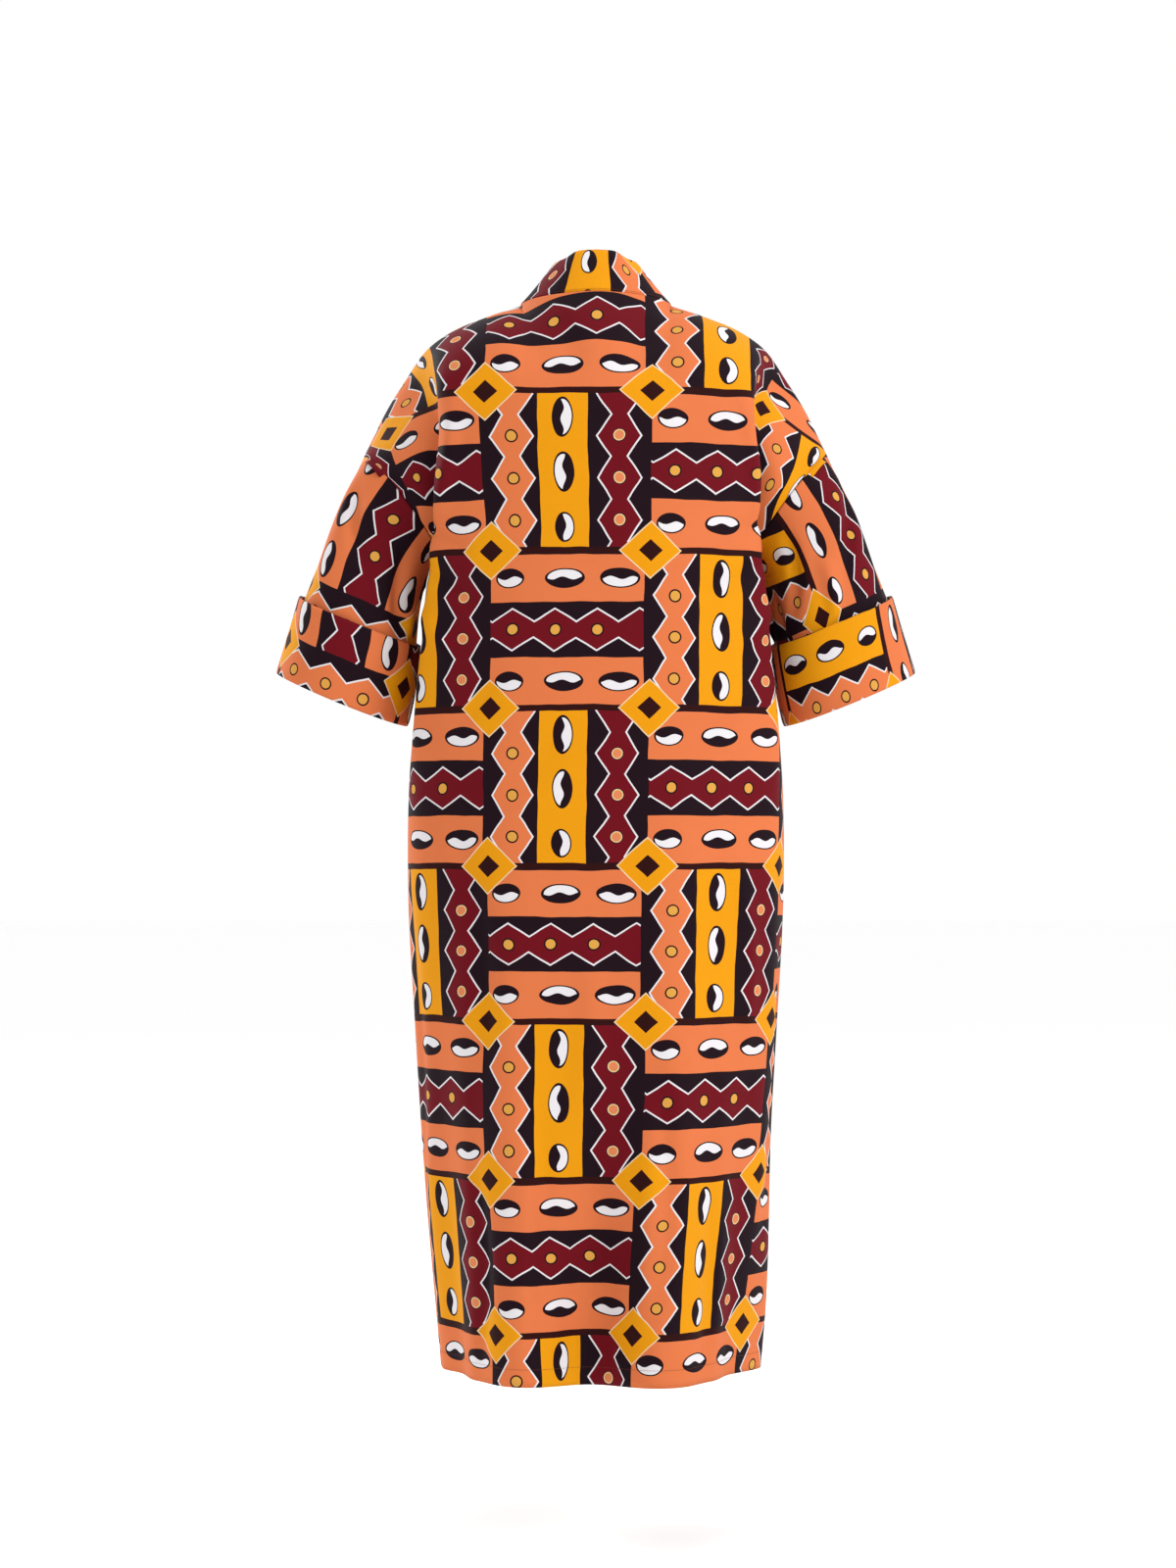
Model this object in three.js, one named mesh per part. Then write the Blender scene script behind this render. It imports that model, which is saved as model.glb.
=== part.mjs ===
// A long open kimono robe in printed cotton, in the hollow form that it has when it is worn: drop
// shoulders, wide half-length sleeves with turned-back cuffs, and one long collar band that runs up
// one front edge, round the neck and down the other.
//
// Millimetres. +Z is up, the open front faces -Y and the wearer's left is +X. The origin is where
// the wearer's neck and shoulders hold the robe: on its upright axis, level with the seam at the
// back of the neck. Each piece is a closed wall between an outer grid of points and the same grid
// moved in by the thickness of the cloth.

import * as THREE from "three";

// Turns rows of numbers into records with named columns
const table = (columns, rows) =>
  rows.map((row) => Object.fromEntries(columns.map((name, i) => [name, row[i]])));

// Driving sizes
const CLOTH_WALL = 2; // one layer of cloth
const DOUBLED_WALL = 3; // the band and the cuffs are folded double
const SEAM_GAP = 0.8; // between two pieces that are sewn together
const LAY_GAP = 0.6; // between a cuff and the sleeve that it lies on
const NECK_HALF_WIDTH = 95;
const NECK_BACK_REACH = 76; // from the upright axis back to the neck seam
const NECK_SIDE_DROP = 7; // of the neck seam, from the centre back to its sides
const BACK_HALF_WIDTH = 378; // centre back to armhole seam, on the flat cloth
const FRONT_WIDTH = 240; // side seam to band, on the flat cloth
const BAND_WIDTH = 60;
const CUFF_DEPTH = 100;

// Shoulder line, from the neck to the top of the armhole
const SHOULDER_LINE = table(
  ["x", "y", "z"],
  [
    [NECK_HALF_WIDTH, 0, -NECK_SIDE_DROP],
    [136, -3, -21],
    [180, -6, -39],
    [213, -9, -63],
    [239, -12, -99],
    [260, -14, -132],
    [277, -15, -166],
    [291, -15, -196],
  ],
);

// Sections of the body at one height each, for the half with x positive. back: reach of the centre
// back. crest: where the back turns to the side. side: the side seam; the first two rows meet the
// sleeve instead. tuck: how far the cloth falls in behind the crest, negative where it swells.
// front: where the front turns to the side. edge: the seam with the band.
const SECTIONS = table(
  ["z", "back", "crestX", "crestY", "sideX", "sideY", "tuck", "frontX", "frontY", "edgeX", "edgeY"],
  [
    [-150, 131, 190, 94, null, null, 22, 172, -98, 98, -116],
    [-225, 136, 196, 90, null, null, 24, 178, -104, 98, -136],
    [-322, 139, 203, 80, 193, -14, 8, 182, -106, 98, -152],
    [-425, 141, 212, 72, 200, -18, 1, 186, -110, 98, -163],
    [-560, 144, 219, 74, 222, -24, -7, 194, -120, 98, -173],
    [-720, 151, 209, 84, 231, -28, -12, 197, -132, 99, -184],
    [-920, 162, 190, 96, 223, -30, -14, 190, -146, 101, -198],
    [-1120, 175, 172, 106, 211, -34, -14, 179, -158, 104, -212],
    [-1322, 188, 154, 116, 193, -38, -14, 164, -170, 108, -224],
  ],
);

// Levels count rows of cloth from the shoulder line down: level 0 is the shoulder line, and the
// sections follow from YOKE_LEVEL on
const YOKE_LEVEL = 3;
const UNDERARM_LEVEL = 5;
const HEM_LEVEL = YOKE_LEVEL + SECTIONS.length - 1;
const NECK_ROUNDNESS = 0.4; // of the cloth's way over the shoulder, which is 1 away from the neck
const BACK_ARMHOLE_BLEND = 0.2; // share of the back's width that turns towards the armhole
const FRONT_ARMHOLE_BLEND = 0.25;

// Between the named places of a section, as shares of the way from one to the next
const BACK_ROUNDING = { across: 0.52, fall: 0.16 };
const BACK_TUCKS = [{ share: 0.36, depth: 1 }, { share: 0.72, depth: 0.7 }];
const FRONT_TUCKS = [{ share: 0.3, depth: 0.4 }, { share: 0.66, depth: 0.6 }];
const CHEST_SWELL = 7;
const ARMHOLE_SWELL = 5; // of the cloth just before it meets the sleeve

// The armhole seam is a loop round the upper arm, from the shoulder line's end to the underarm
const ARMHOLE_BACK_REACH = 68;
const ARMHOLE_FRONT_REACH = 74;
const ARMHOLE_LIFT = 14;

// The sleeve's open end, and how the sleeve leaves the armhole
const SLEEVE_END = { x: 318, y: -24, z: -497 };
const SLEEVE_END_HALF_WIDTH = { x: 80, y: 0, z: 33 };
const SLEEVE_END_HALF_DEPTH = { x: 0, y: 74, z: -8 };
const SLEEVE_RUNS_ON = 0.55; // share of the shoulder's own direction in the top of the sleeve
const SLEEVE_SWINGS_OUT = 180; // lean of its underside away from the body where it starts
const SLEEVE_PULL = 0.8; // how long the sleeve keeps the direction that it starts in
const CUFF_FLARE = 5; // how far the cuff's free upper edge stands off the sleeve

// Long soft folds. across: distance over the cloth to the fold's middle, from the centre back, or
// on a front from the side seam. reach: from its middle to where it ends. height: out, or in where
// negative. It grows from the height start down to the height full.
const FOLD_COLUMNS = ["across", "reach", "height", "start", "full"];
const BACK_FOLDS = table(FOLD_COLUMNS, [
  [9, 92, -54, -860, -1322],
  [118, 60, 9, -480, -1180],
  [-104, 64, 11, -430, -1120],
  [236, 60, -12, -560, -1200],
  [-222, 56, -10, -620, -1250],
  [-316, 58, 13, -980, -1280],
]);
const FRONT_FOLDS = {
  left: table(FOLD_COLUMNS, [
    [58, 40, -10, -460, -1180],
    [118, 44, 13, -330, -1120],
    [182, 40, -8, -420, -1250],
  ]),
  right: table(FOLD_COLUMNS, [
    [66, 44, -11, -400, -1220],
    [130, 42, 12, -360, -1150],
    [190, 36, -7, -500, -1260],
  ]),
};

// The band's direction from its seam to its free edge: up and in round the neck, then turning over
// to carry on the front. station: 0 at the centre back, 1 at the side of the neck, then 1 a level.
const BAND_LEAN = table(
  ["station", "x", "y", "z"],
  [
    [0, 0, -0.4, 0.92],
    [0.6, -0.52, -0.22, 0.82],
    [1, -0.7, 0.04, 0.7],
    [1.6, -0.76, 0.24, 0.6],
    [2.4, -0.86, 0.12, 0.5],
    [3.4, -0.96, -0.06, 0.28],
    [5, -1, -0.1, 0.04],
    [7, -1, -0.08, 0],
    [HEM_LEVEL + 1, -1, -0.08, 0],
  ],
);

// Mesh steps
const NECK_COLUMNS = 5;
const SHOULDER_COLUMNS = 11;
const YOKE_ROWS = 11;
const SKIRT_ROWS = 20;
const SLEEVE_STEPS = 11;
const CUFF_STEPS = 4;
const BAND_STEPS = 3;
const CURVE_SAMPLES = 160;

// Small helpers
const vec = (x, y, z) => new THREE.Vector3(x, y, z);
const fromRow = (row) => vec(row.x, row.y, row.z);
const mix = (a, b, t) => a.clone().lerp(b, t);
const clamp01 = (t) => Math.min(1, Math.max(0, t));
const ease = (t) => clamp01(t) ** 2 * (3 - 2 * clamp01(t));
const steps = (count) => Array.from({ length: count + 1 }, (_, i) => i / count);
const mirrorX = (point) => vec(-point.x, point.y, point.z);
const smoothCurve = (points) => new THREE.CatmullRomCurve3(points, false, "centripetal");

// The point at a distance along a polyline
function pointAt(polyline, distance) {
  let left = distance;
  let i = 1;
  while (i < polyline.length - 1 && left > polyline[i].distanceTo(polyline[i - 1])) {
    left -= polyline[i].distanceTo(polyline[i - 1]);
    i++;
  }
  return mix(polyline[i - 1], polyline[i], left / polyline[i].distanceTo(polyline[i - 1]));
}

// Points along a polyline, at shares of its length
function pointsAtShares(polyline, shares) {
  let length = 0;
  for (let i = 1; i < polyline.length; i++) length += polyline[i].distanceTo(polyline[i - 1]);
  return shares.map((share) => pointAt(polyline, share * length));
}

// The stretch of a smooth curve between two of its points, as a polyline
function stretch(points, first, last) {
  const curve = smoothCurve(points);
  const spans = points.length - 1;
  return steps(CURVE_SAMPLES).map((t) => curve.getPoint((first + (last - first) * t) / spans));
}

// A cubic from start, leaving along one vector, to end, arriving along another
function cubicBetween(start, leave, end, arrive, t) {
  const t2 = t * t;
  const t3 = t2 * t;
  return start
    .clone()
    .multiplyScalar(2 * t3 - 3 * t2 + 1)
    .addScaledVector(leave, t3 - 2 * t2 + t)
    .addScaledVector(end, -2 * t3 + 3 * t2)
    .addScaledVector(arrive, t3 - t2);
}

// Sections of the body
const sectionAt = (level) => SECTIONS[level - YOKE_LEVEL];

// The back or front half of the armhole seam, from its top (turn 0) to the underarm (turn 1)
function armholePoint(turn, isBack) {
  const top = fromRow(SHOULDER_LINE.at(-1));
  const { sideX, sideY, z } = sectionAt(UNDERARM_LEVEL);
  const reach = isBack ? ARMHOLE_BACK_REACH : -ARMHOLE_FRONT_REACH;
  const angle = turn * Math.PI;
  const onAxis = mix(vec(sideX, sideY, z), top, (1 + Math.cos(angle)) / 2);
  return onAxis.add(vec(0, reach * Math.sin(angle), ARMHOLE_LIFT * Math.sin(angle)));
}

// Where a level meets the sleeve, or from the underarm down the side seam
function seamPoint(level, isBack) {
  if (level < UNDERARM_LEVEL) return armholePoint(level / UNDERARM_LEVEL, isBack);
  const { sideX, sideY, z } = sectionAt(level);
  return vec(sideX, sideY, z);
}

// A point on the way between two places, moved away from the upright axis
function besideLine(from, to, share, outwards) {
  const along = to.clone().sub(from);
  const away = vec(-along.y, along.x, 0).normalize();
  if (away.x < 0) away.negate();
  return mix(from, to, share).addScaledVector(away, outwards);
}

// One section of the half garment as two polylines: centre back to seam, and seam to band
function sectionCurves(level) {
  const row = sectionAt(level);
  const centre = vec(0, row.back, row.z);
  const crest = vec(row.crestX, row.crestY, row.z);
  const corner = vec(row.frontX, row.frontY, row.z);
  const edge = vec(row.edgeX, row.edgeY, row.z);
  const backSeam = seamPoint(level, true);
  const frontSeam = seamPoint(level, false);
  const rounding = vec(
    row.crestX * BACK_ROUNDING.across,
    row.back - (row.back - row.crestY) * BACK_ROUNDING.fall,
    row.z,
  );
  const chest = mix(corner, edge, 0.5).add(vec(0, -CHEST_SWELL, 0));
  const swellsAtSeam = level < UNDERARM_LEVEL - 1;
  const tuckAt = (tuck, isNextToSeam) =>
    swellsAtSeam && isNextToSeam ? ARMHOLE_SWELL : -row.tuck * tuck.depth;
  const backTucks = BACK_TUCKS.map((tuck, i) =>
    besideLine(crest, backSeam, tuck.share, tuckAt(tuck, i === 1)),
  );
  const frontTucks = FRONT_TUCKS.map((tuck, i) =>
    besideLine(frontSeam, corner, tuck.share, tuckAt(tuck, i === 0)),
  );
  const back = [mirrorX(rounding), centre, rounding, crest, ...backTucks, backSeam];
  const intoBand = edge.clone().add(vec(-BAND_WIDTH, -3, 0));
  const front = [frontSeam, ...frontTucks, corner, chest, edge, intoBand];
  if (level < UNDERARM_LEVEL) return { back: stretch(back, 1, 6), front: stretch(front, 0, 5) };
  const whole = [...back, ...front.slice(1)];
  return { back: stretch(whole, 1, 6), front: stretch(whole, 6, 11) };
}

// Where the columns of the back and of a front run, as shares of the way across
const NECK_SHARE = NECK_HALF_WIDTH / BACK_HALF_WIDTH;
const BACK_SHARES = [
  ...steps(NECK_COLUMNS).map((t) => t * NECK_SHARE),
  ...steps(SHOULDER_COLUMNS).slice(1).map((t) => NECK_SHARE + t * (1 - NECK_SHARE)),
];
const FRONT_SHARES = steps(SHOULDER_COLUMNS);

// The top edge: the back neckline, a quarter of an ellipse, and then the shoulder line
function topEdge() {
  const neckline = steps(NECK_COLUMNS).map((t) => {
    const angle = (t * Math.PI) / 2;
    return vec(
      NECK_HALF_WIDTH * Math.sin(angle),
      NECK_BACK_REACH * Math.cos(angle),
      -NECK_SIDE_DROP * t,
    );
  });
  const line = stretch(SHOULDER_LINE.map(fromRow), 0, SHOULDER_LINE.length - 1);
  const shoulder = pointsAtShares(line, FRONT_SHARES);
  return { back: [...neckline, ...shoulder.slice(1)], front: shoulder.toReversed() };
}

// The cloth's way over the shoulder, from the top edge (share 0) to the first section (share 1)
function overShoulder(top, wall, share, roundness) {
  const angle = (share * Math.PI) / 2;
  const outwards = share + (Math.sin(angle) - share) * roundness;
  const down = share + (1 - Math.cos(angle) - share) * roundness;
  return vec(
    top.x + (wall.x - top.x) * outwards,
    top.y + (wall.y - top.y) * outwards,
    top.z + (wall.z - top.z) * down,
  );
}

// Points of the half garment, a row for each level
function levelPoints() {
  const top = topEdge();
  const curves = SECTIONS.map((_, i) => sectionCurves(i + YOKE_LEVEL));
  const sectionRows = {
    back: curves.map((curve) => pointsAtShares(curve.back, BACK_SHARES)),
    front: curves.map((curve) => pointsAtShares(curve.front, FRONT_SHARES)),
  };
  const arch = { back: [], front: [] };
  for (let level = 1; level < YOKE_LEVEL; level++) {
    const share = level / YOKE_LEVEL;
    arch.back.push(
      sectionRows.back[0].map((wall, j) => {
        const pastNeck = ease(BACK_SHARES[j] / NECK_SHARE - NECK_ROUNDNESS);
        const roundness = NECK_ROUNDNESS + (1 - NECK_ROUNDNESS) * pastNeck;
        const arched = overShoulder(top.back[j], wall, share, roundness);
        const toSeam = 1 - (1 - BACK_SHARES[j]) / BACK_ARMHOLE_BLEND;
        return mix(arched, seamPoint(level, true), ease(toSeam));
      }),
    );
    arch.front.push(
      sectionRows.front[0].map((wall, j) => {
        const arched = overShoulder(top.front[j], wall, share, 1);
        const toSeam = 1 - FRONT_SHARES[j] / FRONT_ARMHOLE_BLEND;
        return mix(arched, seamPoint(level, false), ease(toSeam));
      }),
    );
  }
  return {
    back: [top.back, ...arch.back, ...sectionRows.back],
    front: [top.front, ...arch.front, ...sectionRows.front],
  };
}

// The rows of the mesh, as levels: even steps over the yoke, then even steps down to the hem
const ROW_LEVELS = [
  ...steps(YOKE_ROWS).map((t) => t * UNDERARM_LEVEL),
  ...steps(SKIRT_ROWS).slice(1).map((t) => UNDERARM_LEVEL + t * (HEM_LEVEL - UNDERARM_LEVEL)),
];

// Rows of points at ROW_LEVELS, each column a smooth curve down through the levels. The column on
// the seam turns sharply at the underarm, from the armhole into the side seam.
function smoothRows(levels, beyondTop, seamColumn) {
  const columns = levels[0].map((_, j) => {
    const points = [beyondTop[j], ...levels.map((row) => row[j])];
    const whole = smoothCurve(points);
    const sideSeam = smoothCurve(points.slice(UNDERARM_LEVEL + 1));
    return ROW_LEVELS.map((level) =>
      j === seamColumn && level >= UNDERARM_LEVEL
        ? sideSeam.getPoint((level - UNDERARM_LEVEL) / (HEM_LEVEL - UNDERARM_LEVEL))
        : whole.getPoint((level + 1) / (points.length - 1)),
    );
  });
  return ROW_LEVELS.map((_, i) => columns.map((column) => column[i]));
}

// The half garment's back and front. Each column runs on over the shoulder into the other side's.
function halfGarment() {
  const { back, front } = levelPoints();
  const overToBack = back[1].slice(NECK_COLUMNS).toReversed();
  const overToFront = front[1].toReversed();
  const beyondBack = back[0].map((top, j) =>
    j < NECK_COLUMNS
      ? top.clone().multiplyScalar(2).sub(back[1][j])
      : overToFront[j - NECK_COLUMNS],
  );
  return {
    back: smoothRows(back, beyondBack, BACK_SHARES.length - 1),
    front: smoothRows(front, overToBack, 0),
  };
}

// Sheets: a grid of points on the cloth's outer face, with the outward direction at each

// side is 1 or -1, whichever turns the directions outwards
function outwardDirections(rows, side, isRing) {
  const last = rows[0].length - 1;
  return rows.map((row, i) =>
    row.map((_, j) => {
      const up = rows[Math.max(0, i - 1)][j];
      const down = rows[Math.min(rows.length - 1, i + 1)][j];
      const before = row[isRing ? (j + last) % (last + 1) : Math.max(0, j - 1)];
      const after = row[isRing ? (j + 1) % (last + 1) : Math.min(last, j + 1)];
      const across = after.clone().sub(before);
      return across.cross(down.clone().sub(up)).normalize().multiplyScalar(side);
    }),
  );
}

function makeSheet(rows, side, isRing = false) {
  return { rows, outwards: outwardDirections(rows, side, isRing), isRing };
}

// Pushes a sheet's points out or in along its folds
function withFolds(sheet, side, folds, acrossAt) {
  const rows = sheet.rows.map((row, i) =>
    row.map((point, j) => {
      let height = 0;
      for (const fold of folds) {
        const off = Math.min(1, Math.abs(acrossAt(j) - fold.across) / fold.reach);
        const grown = ease((fold.start - point.z) / (fold.start - fold.full));
        height += fold.height * grown * (1 + Math.cos(Math.PI * off)) / 2;
      }
      return point.clone().addScaledVector(sheet.outwards[i][j], height);
    }),
  );
  return makeSheet(rows, side);
}

function backSheet(half) {
  const rows = half.back.map((row) => [...row.slice(1).toReversed().map(mirrorX), ...row]);
  const middle = BACK_SHARES.length - 1;
  const acrossAt = (j) =>
    Math.sign(j - middle) * BACK_SHARES[Math.abs(j - middle)] * BACK_HALF_WIDTH;
  return withFolds(makeSheet(rows, 1), 1, BACK_FOLDS, acrossAt);
}

function frontSheet(half, name, side) {
  const rows = side === 1 ? half.front : half.front.map((row) => row.map(mirrorX));
  const acrossAt = (j) => FRONT_SHARES[j] * FRONT_WIDTH;
  return withFolds(makeSheet(rows, side), side, FRONT_FOLDS[name], acrossAt);
}

// The armhole seam as a ring, from its top down the back and up the front, with the column of
// cloth that lies next to it
function armholeRing(back, front, side) {
  const seam = side === 1 ? back.rows[0].length - 1 : 0;
  const down = back.rows.slice(0, YOKE_ROWS + 1);
  const up = front.rows.slice(1, YOKE_ROWS).toReversed();
  return {
    ring: [...down.map((row) => row[seam]), ...up.map((row) => row[0])],
    beside: [...down.map((row) => row[seam - side]), ...up.map((row) => row[1])],
  };
}

// The sleeve: rings from the armhole seam to its open end
function sleeveSheet(back, front, side) {
  const { ring, beside } = armholeRing(back, front, side);
  const toSide = (row) => vec(row.x * side, row.y, row.z);
  const end = toSide(SLEEVE_END);
  const endWide = toSide(SLEEVE_END_HALF_WIDTH);
  const endDeep = toSide(SLEEVE_END_HALF_DEPTH);
  const middle = ring.reduce((sum, p) => sum.add(p), vec(0, 0, 0)).divideScalar(ring.length);
  const along = end.clone().sub(middle);
  const columns = ring.map((start, k) => {
    const angle = (2 * Math.PI * k) / ring.length;
    const onTop = (1 + Math.cos(angle)) / 2;
    const finish = end
      .clone()
      .addScaledVector(endWide, Math.cos(angle))
      .addScaledVector(endDeep, Math.sin(angle));
    const reach = finish.distanceTo(start);
    const runOn = start.clone().sub(beside[k]).setLength(along.length());
    const leave = mix(along, runOn, onTop * SLEEVE_RUNS_ON);
    leave.x += side * (1 - onTop) * SLEEVE_SWINGS_OUT;
    leave.setLength(reach * SLEEVE_PULL);
    const arrive = along.clone().setLength(reach);
    return steps(SLEEVE_STEPS).map((t) => cubicBetween(start, leave, finish, arrive, t));
  });
  const rings = steps(SLEEVE_STEPS).map((_, i) => columns.map((column) => column[i]));
  return makeSheet(rings, -side, true);
}

// The cuff is the sleeve's end turned back: rings of the sleeve's own points
function cuffSheet(sleeve, side) {
  const distances = steps(CUFF_STEPS).map((t) => CUFF_DEPTH * (1 - t));
  const fromEnd = sleeve.rows.toReversed();
  const rings = distances.map((distance) =>
    sleeve.rows[0].map((_, k) => pointAt(fromEnd.map((ring) => ring[k]), distance)),
  );
  return makeSheet(rings, -side, true);
}

function bandLean(station) {
  let i = 1;
  while (BAND_LEAN[i].station < station) i++;
  const [before, after] = [BAND_LEAN[i - 1], BAND_LEAN[i]];
  const t = (station - before.station) / (after.station - before.station);
  return mix(fromRow(before), fromRow(after), ease(t)).normalize();
}

// Half of the band's seam, from the centre back to the hem, with its lean at each point
function halfBandSeam(back, front, side) {
  const middle = BACK_SHARES.length - 1;
  const neck = steps(NECK_COLUMNS).map((t, j) => [back.rows[0][middle + side * j], t]);
  const edge = ROW_LEVELS.map((level, i) => [front.rows[i].at(-1), 1 + level]);
  return [...neck, ...edge.slice(1)].map(([seam, station]) => {
    const lean = bandLean(station);
    return { seam, lean: vec(lean.x * side, lean.y, lean.z) };
  });
}

function bandSheet(back, fronts) {
  const left = halfBandSeam(back, fronts.left, 1);
  const right = halfBandSeam(back, fronts.right, -1);
  const line = [...right.slice(1).toReversed(), ...left];
  const rows = steps(BAND_STEPS).map((t) =>
    line.map(({ seam, lean }) => seam.clone().addScaledVector(lean, BAND_WIDTH * t)),
  );
  return makeSheet(rows, -1);
}

// Walls: the sheets given their thickness

// Pieces that meet at a seam share the direction of their cut edges, so that the edges stay
// parallel, except where the two turn away from each other more sharply than this cosine
const SHARED_ABOVE = 0.6;
const PLACES_PER_MM = 20;
const seamDirections = new Map();
const placeOf = (p) => [p.x, p.y, p.z].map((v) => Math.round(v * PLACES_PER_MM)).join();

function shareDirections(sheet) {
  sheet.rows.forEach((row, i) =>
    row.forEach((point, j) => {
      const sum = seamDirections.get(placeOf(point)) ?? vec(0, 0, 0);
      seamDirections.set(placeOf(point), sum.add(sheet.outwards[i][j]));
    }),
  );
}

function wallDirection(point, own) {
  const shared = seamDirections.get(placeOf(point)).clone().normalize();
  return shared.dot(own) > SHARED_ABOVE ? shared : own;
}

// Moves the outer rows and columns of a sheet back from its seams
function trimmed(rows, seams) {
  const moved = rows.map((row) => row.map((point) => point.clone()));
  const pull = (point, towards) => {
    point.add(towards.clone().sub(point).setLength(SEAM_GAP / 2));
  };
  const last = rows[0].length - 1;
  if (seams.top) rows[0].forEach((_, j) => pull(moved[0][j], rows[1][j]));
  rows.forEach((row, i) => {
    if (seams.left) pull(moved[i][0], row[1]);
    if (seams.right) pull(moved[i][last], row[last - 1]);
  });
  return moved;
}

const movedOut = (rows, distanceAt, directionAt) =>
  rows.map((row, i) =>
    row.map((point, j) => point.clone().addScaledVector(directionAt(i, j), distanceAt(i))),
  );

// A closed body between an outer and an inner grid of points. A ring's last column meets its first.
function wallGeometry(outer, inner, isRing) {
  const rowCount = outer.length;
  const columnCount = outer[0].length;
  const points = [...outer.flat(), ...inner.flat()];
  const outerAt = (i, j) => i * columnCount + (j % columnCount);
  const innerAt = (i, j) => rowCount * columnCount + outerAt(i, j);
  const triangles = [];
  const quad = (a, b, c, d) => triangles.push(a, b, c, a, c, d);
  const spans = isRing ? columnCount : columnCount - 1;
  const end = rowCount - 1;
  for (let j = 0; j < spans; j++) {
    for (let i = 0; i < end; i++) {
      quad(outerAt(i, j), outerAt(i + 1, j), outerAt(i + 1, j + 1), outerAt(i, j + 1));
      quad(innerAt(i, j), innerAt(i, j + 1), innerAt(i + 1, j + 1), innerAt(i + 1, j));
    }
    quad(outerAt(0, j), outerAt(0, j + 1), innerAt(0, j + 1), innerAt(0, j));
    quad(outerAt(end, j + 1), outerAt(end, j), innerAt(end, j), innerAt(end, j + 1));
  }
  if (!isRing) {
    for (let i = 0; i < end; i++) {
      quad(outerAt(i + 1, 0), outerAt(i, 0), innerAt(i, 0), innerAt(i + 1, 0));
      quad(outerAt(i, spans), outerAt(i + 1, spans), innerAt(i + 1, spans), innerAt(i, spans));
    }
  }
  const geometry = new THREE.BufferGeometry();
  geometry.setAttribute("position", new THREE.BufferAttribute(flatPositions(points), 3));
  geometry.setIndex(signedVolume(points, triangles) > 0 ? triangles : turnedOver(triangles));
  geometry.computeVertexNormals();
  return geometry;
}

const flatPositions = (points) => new Float32Array(points.flatMap((p) => [p.x, p.y, p.z]));

function signedVolume(points, triangles) {
  let sum = 0;
  for (let t = 0; t < triangles.length; t += 3) {
    const [a, b, c] = triangles.slice(t, t + 3).map((index) => points[index]);
    sum += a.dot(b.clone().cross(c)) / 6;
  }
  return sum;
}

function turnedOver(triangles) {
  const turned = [];
  for (let t = 0; t < triangles.length; t += 3) {
    turned.push(triangles[t], triangles[t + 2], triangles[t + 1]);
  }
  return turned;
}

const robe = new THREE.Group();

function addPiece(name, outer, inner, isRing) {
  const cotton = new THREE.MeshStandardMaterial({
    color: 0xe9743c,
    roughness: 0.85,
    metalness: 0,
  });
  const mesh = new THREE.Mesh(wallGeometry(outer, inner, isRing), cotton);
  mesh.name = name;
  robe.add(mesh);
}

// A piece whose outer face is its sheet, trimmed at its seams
function addSewnPiece(name, sheet, thickness, seams) {
  const outer = trimmed(sheet.rows, seams);
  const directionAt = (i, j) => wallDirection(sheet.rows[i][j], sheet.outwards[i][j]);
  const inner = movedOut(outer, () => -thickness, directionAt);
  addPiece(name, outer, inner, sheet.isRing);
}

// A cuff lies on the sleeve, and stands off it towards its free upper edge
function addCuff(name, sheet) {
  const directionAt = (i, j) => sheet.outwards[i][j];
  const standOff = (i) => LAY_GAP + CUFF_FLARE * (1 - i / CUFF_STEPS) ** 2;
  const inner = movedOut(sheet.rows, standOff, directionAt);
  const outer = movedOut(sheet.rows, (i) => standOff(i) + DOUBLED_WALL, directionAt);
  addPiece(name, outer, inner, true);
}

// The robe
const SIDES = { left: 1, right: -1 };
const half = halfGarment();
const back = backSheet(half);
const fronts = {};
const sleeves = {};
for (const [name, side] of Object.entries(SIDES)) {
  fronts[name] = frontSheet(half, name, side);
  sleeves[name] = sleeveSheet(back, fronts[name], side);
}
const band = bandSheet(back, fronts);
[back, band, ...Object.values(fronts), ...Object.values(sleeves)].forEach(shareDirections);

addSewnPiece("back_panel", back, CLOTH_WALL, { top: true, left: true, right: true });
addSewnPiece("collar_band", band, DOUBLED_WALL, { top: true });
for (const [name, side] of Object.entries(SIDES)) {
  addSewnPiece(`front_${name}`, fronts[name], CLOTH_WALL, { top: true, left: true, right: true });
  addSewnPiece(`sleeve_${name}`, sleeves[name], CLOTH_WALL, { top: true });
  addCuff(`cuff_${name}`, cuffSheet(sleeves[name], side));
}

export default robe;
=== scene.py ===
"""A long open kimono robe in printed cotton, worn and hollow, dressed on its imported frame.

Metres, +Z up, the open front towards -Y and the wearer's left towards +X. Each piece of cloth is a
thin shell on the form of its solid: the same sections and folds, sampled more finely, with creases,
hems and sewing added. The print is charted in shader arithmetic on the flat cloth.
"""

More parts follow.
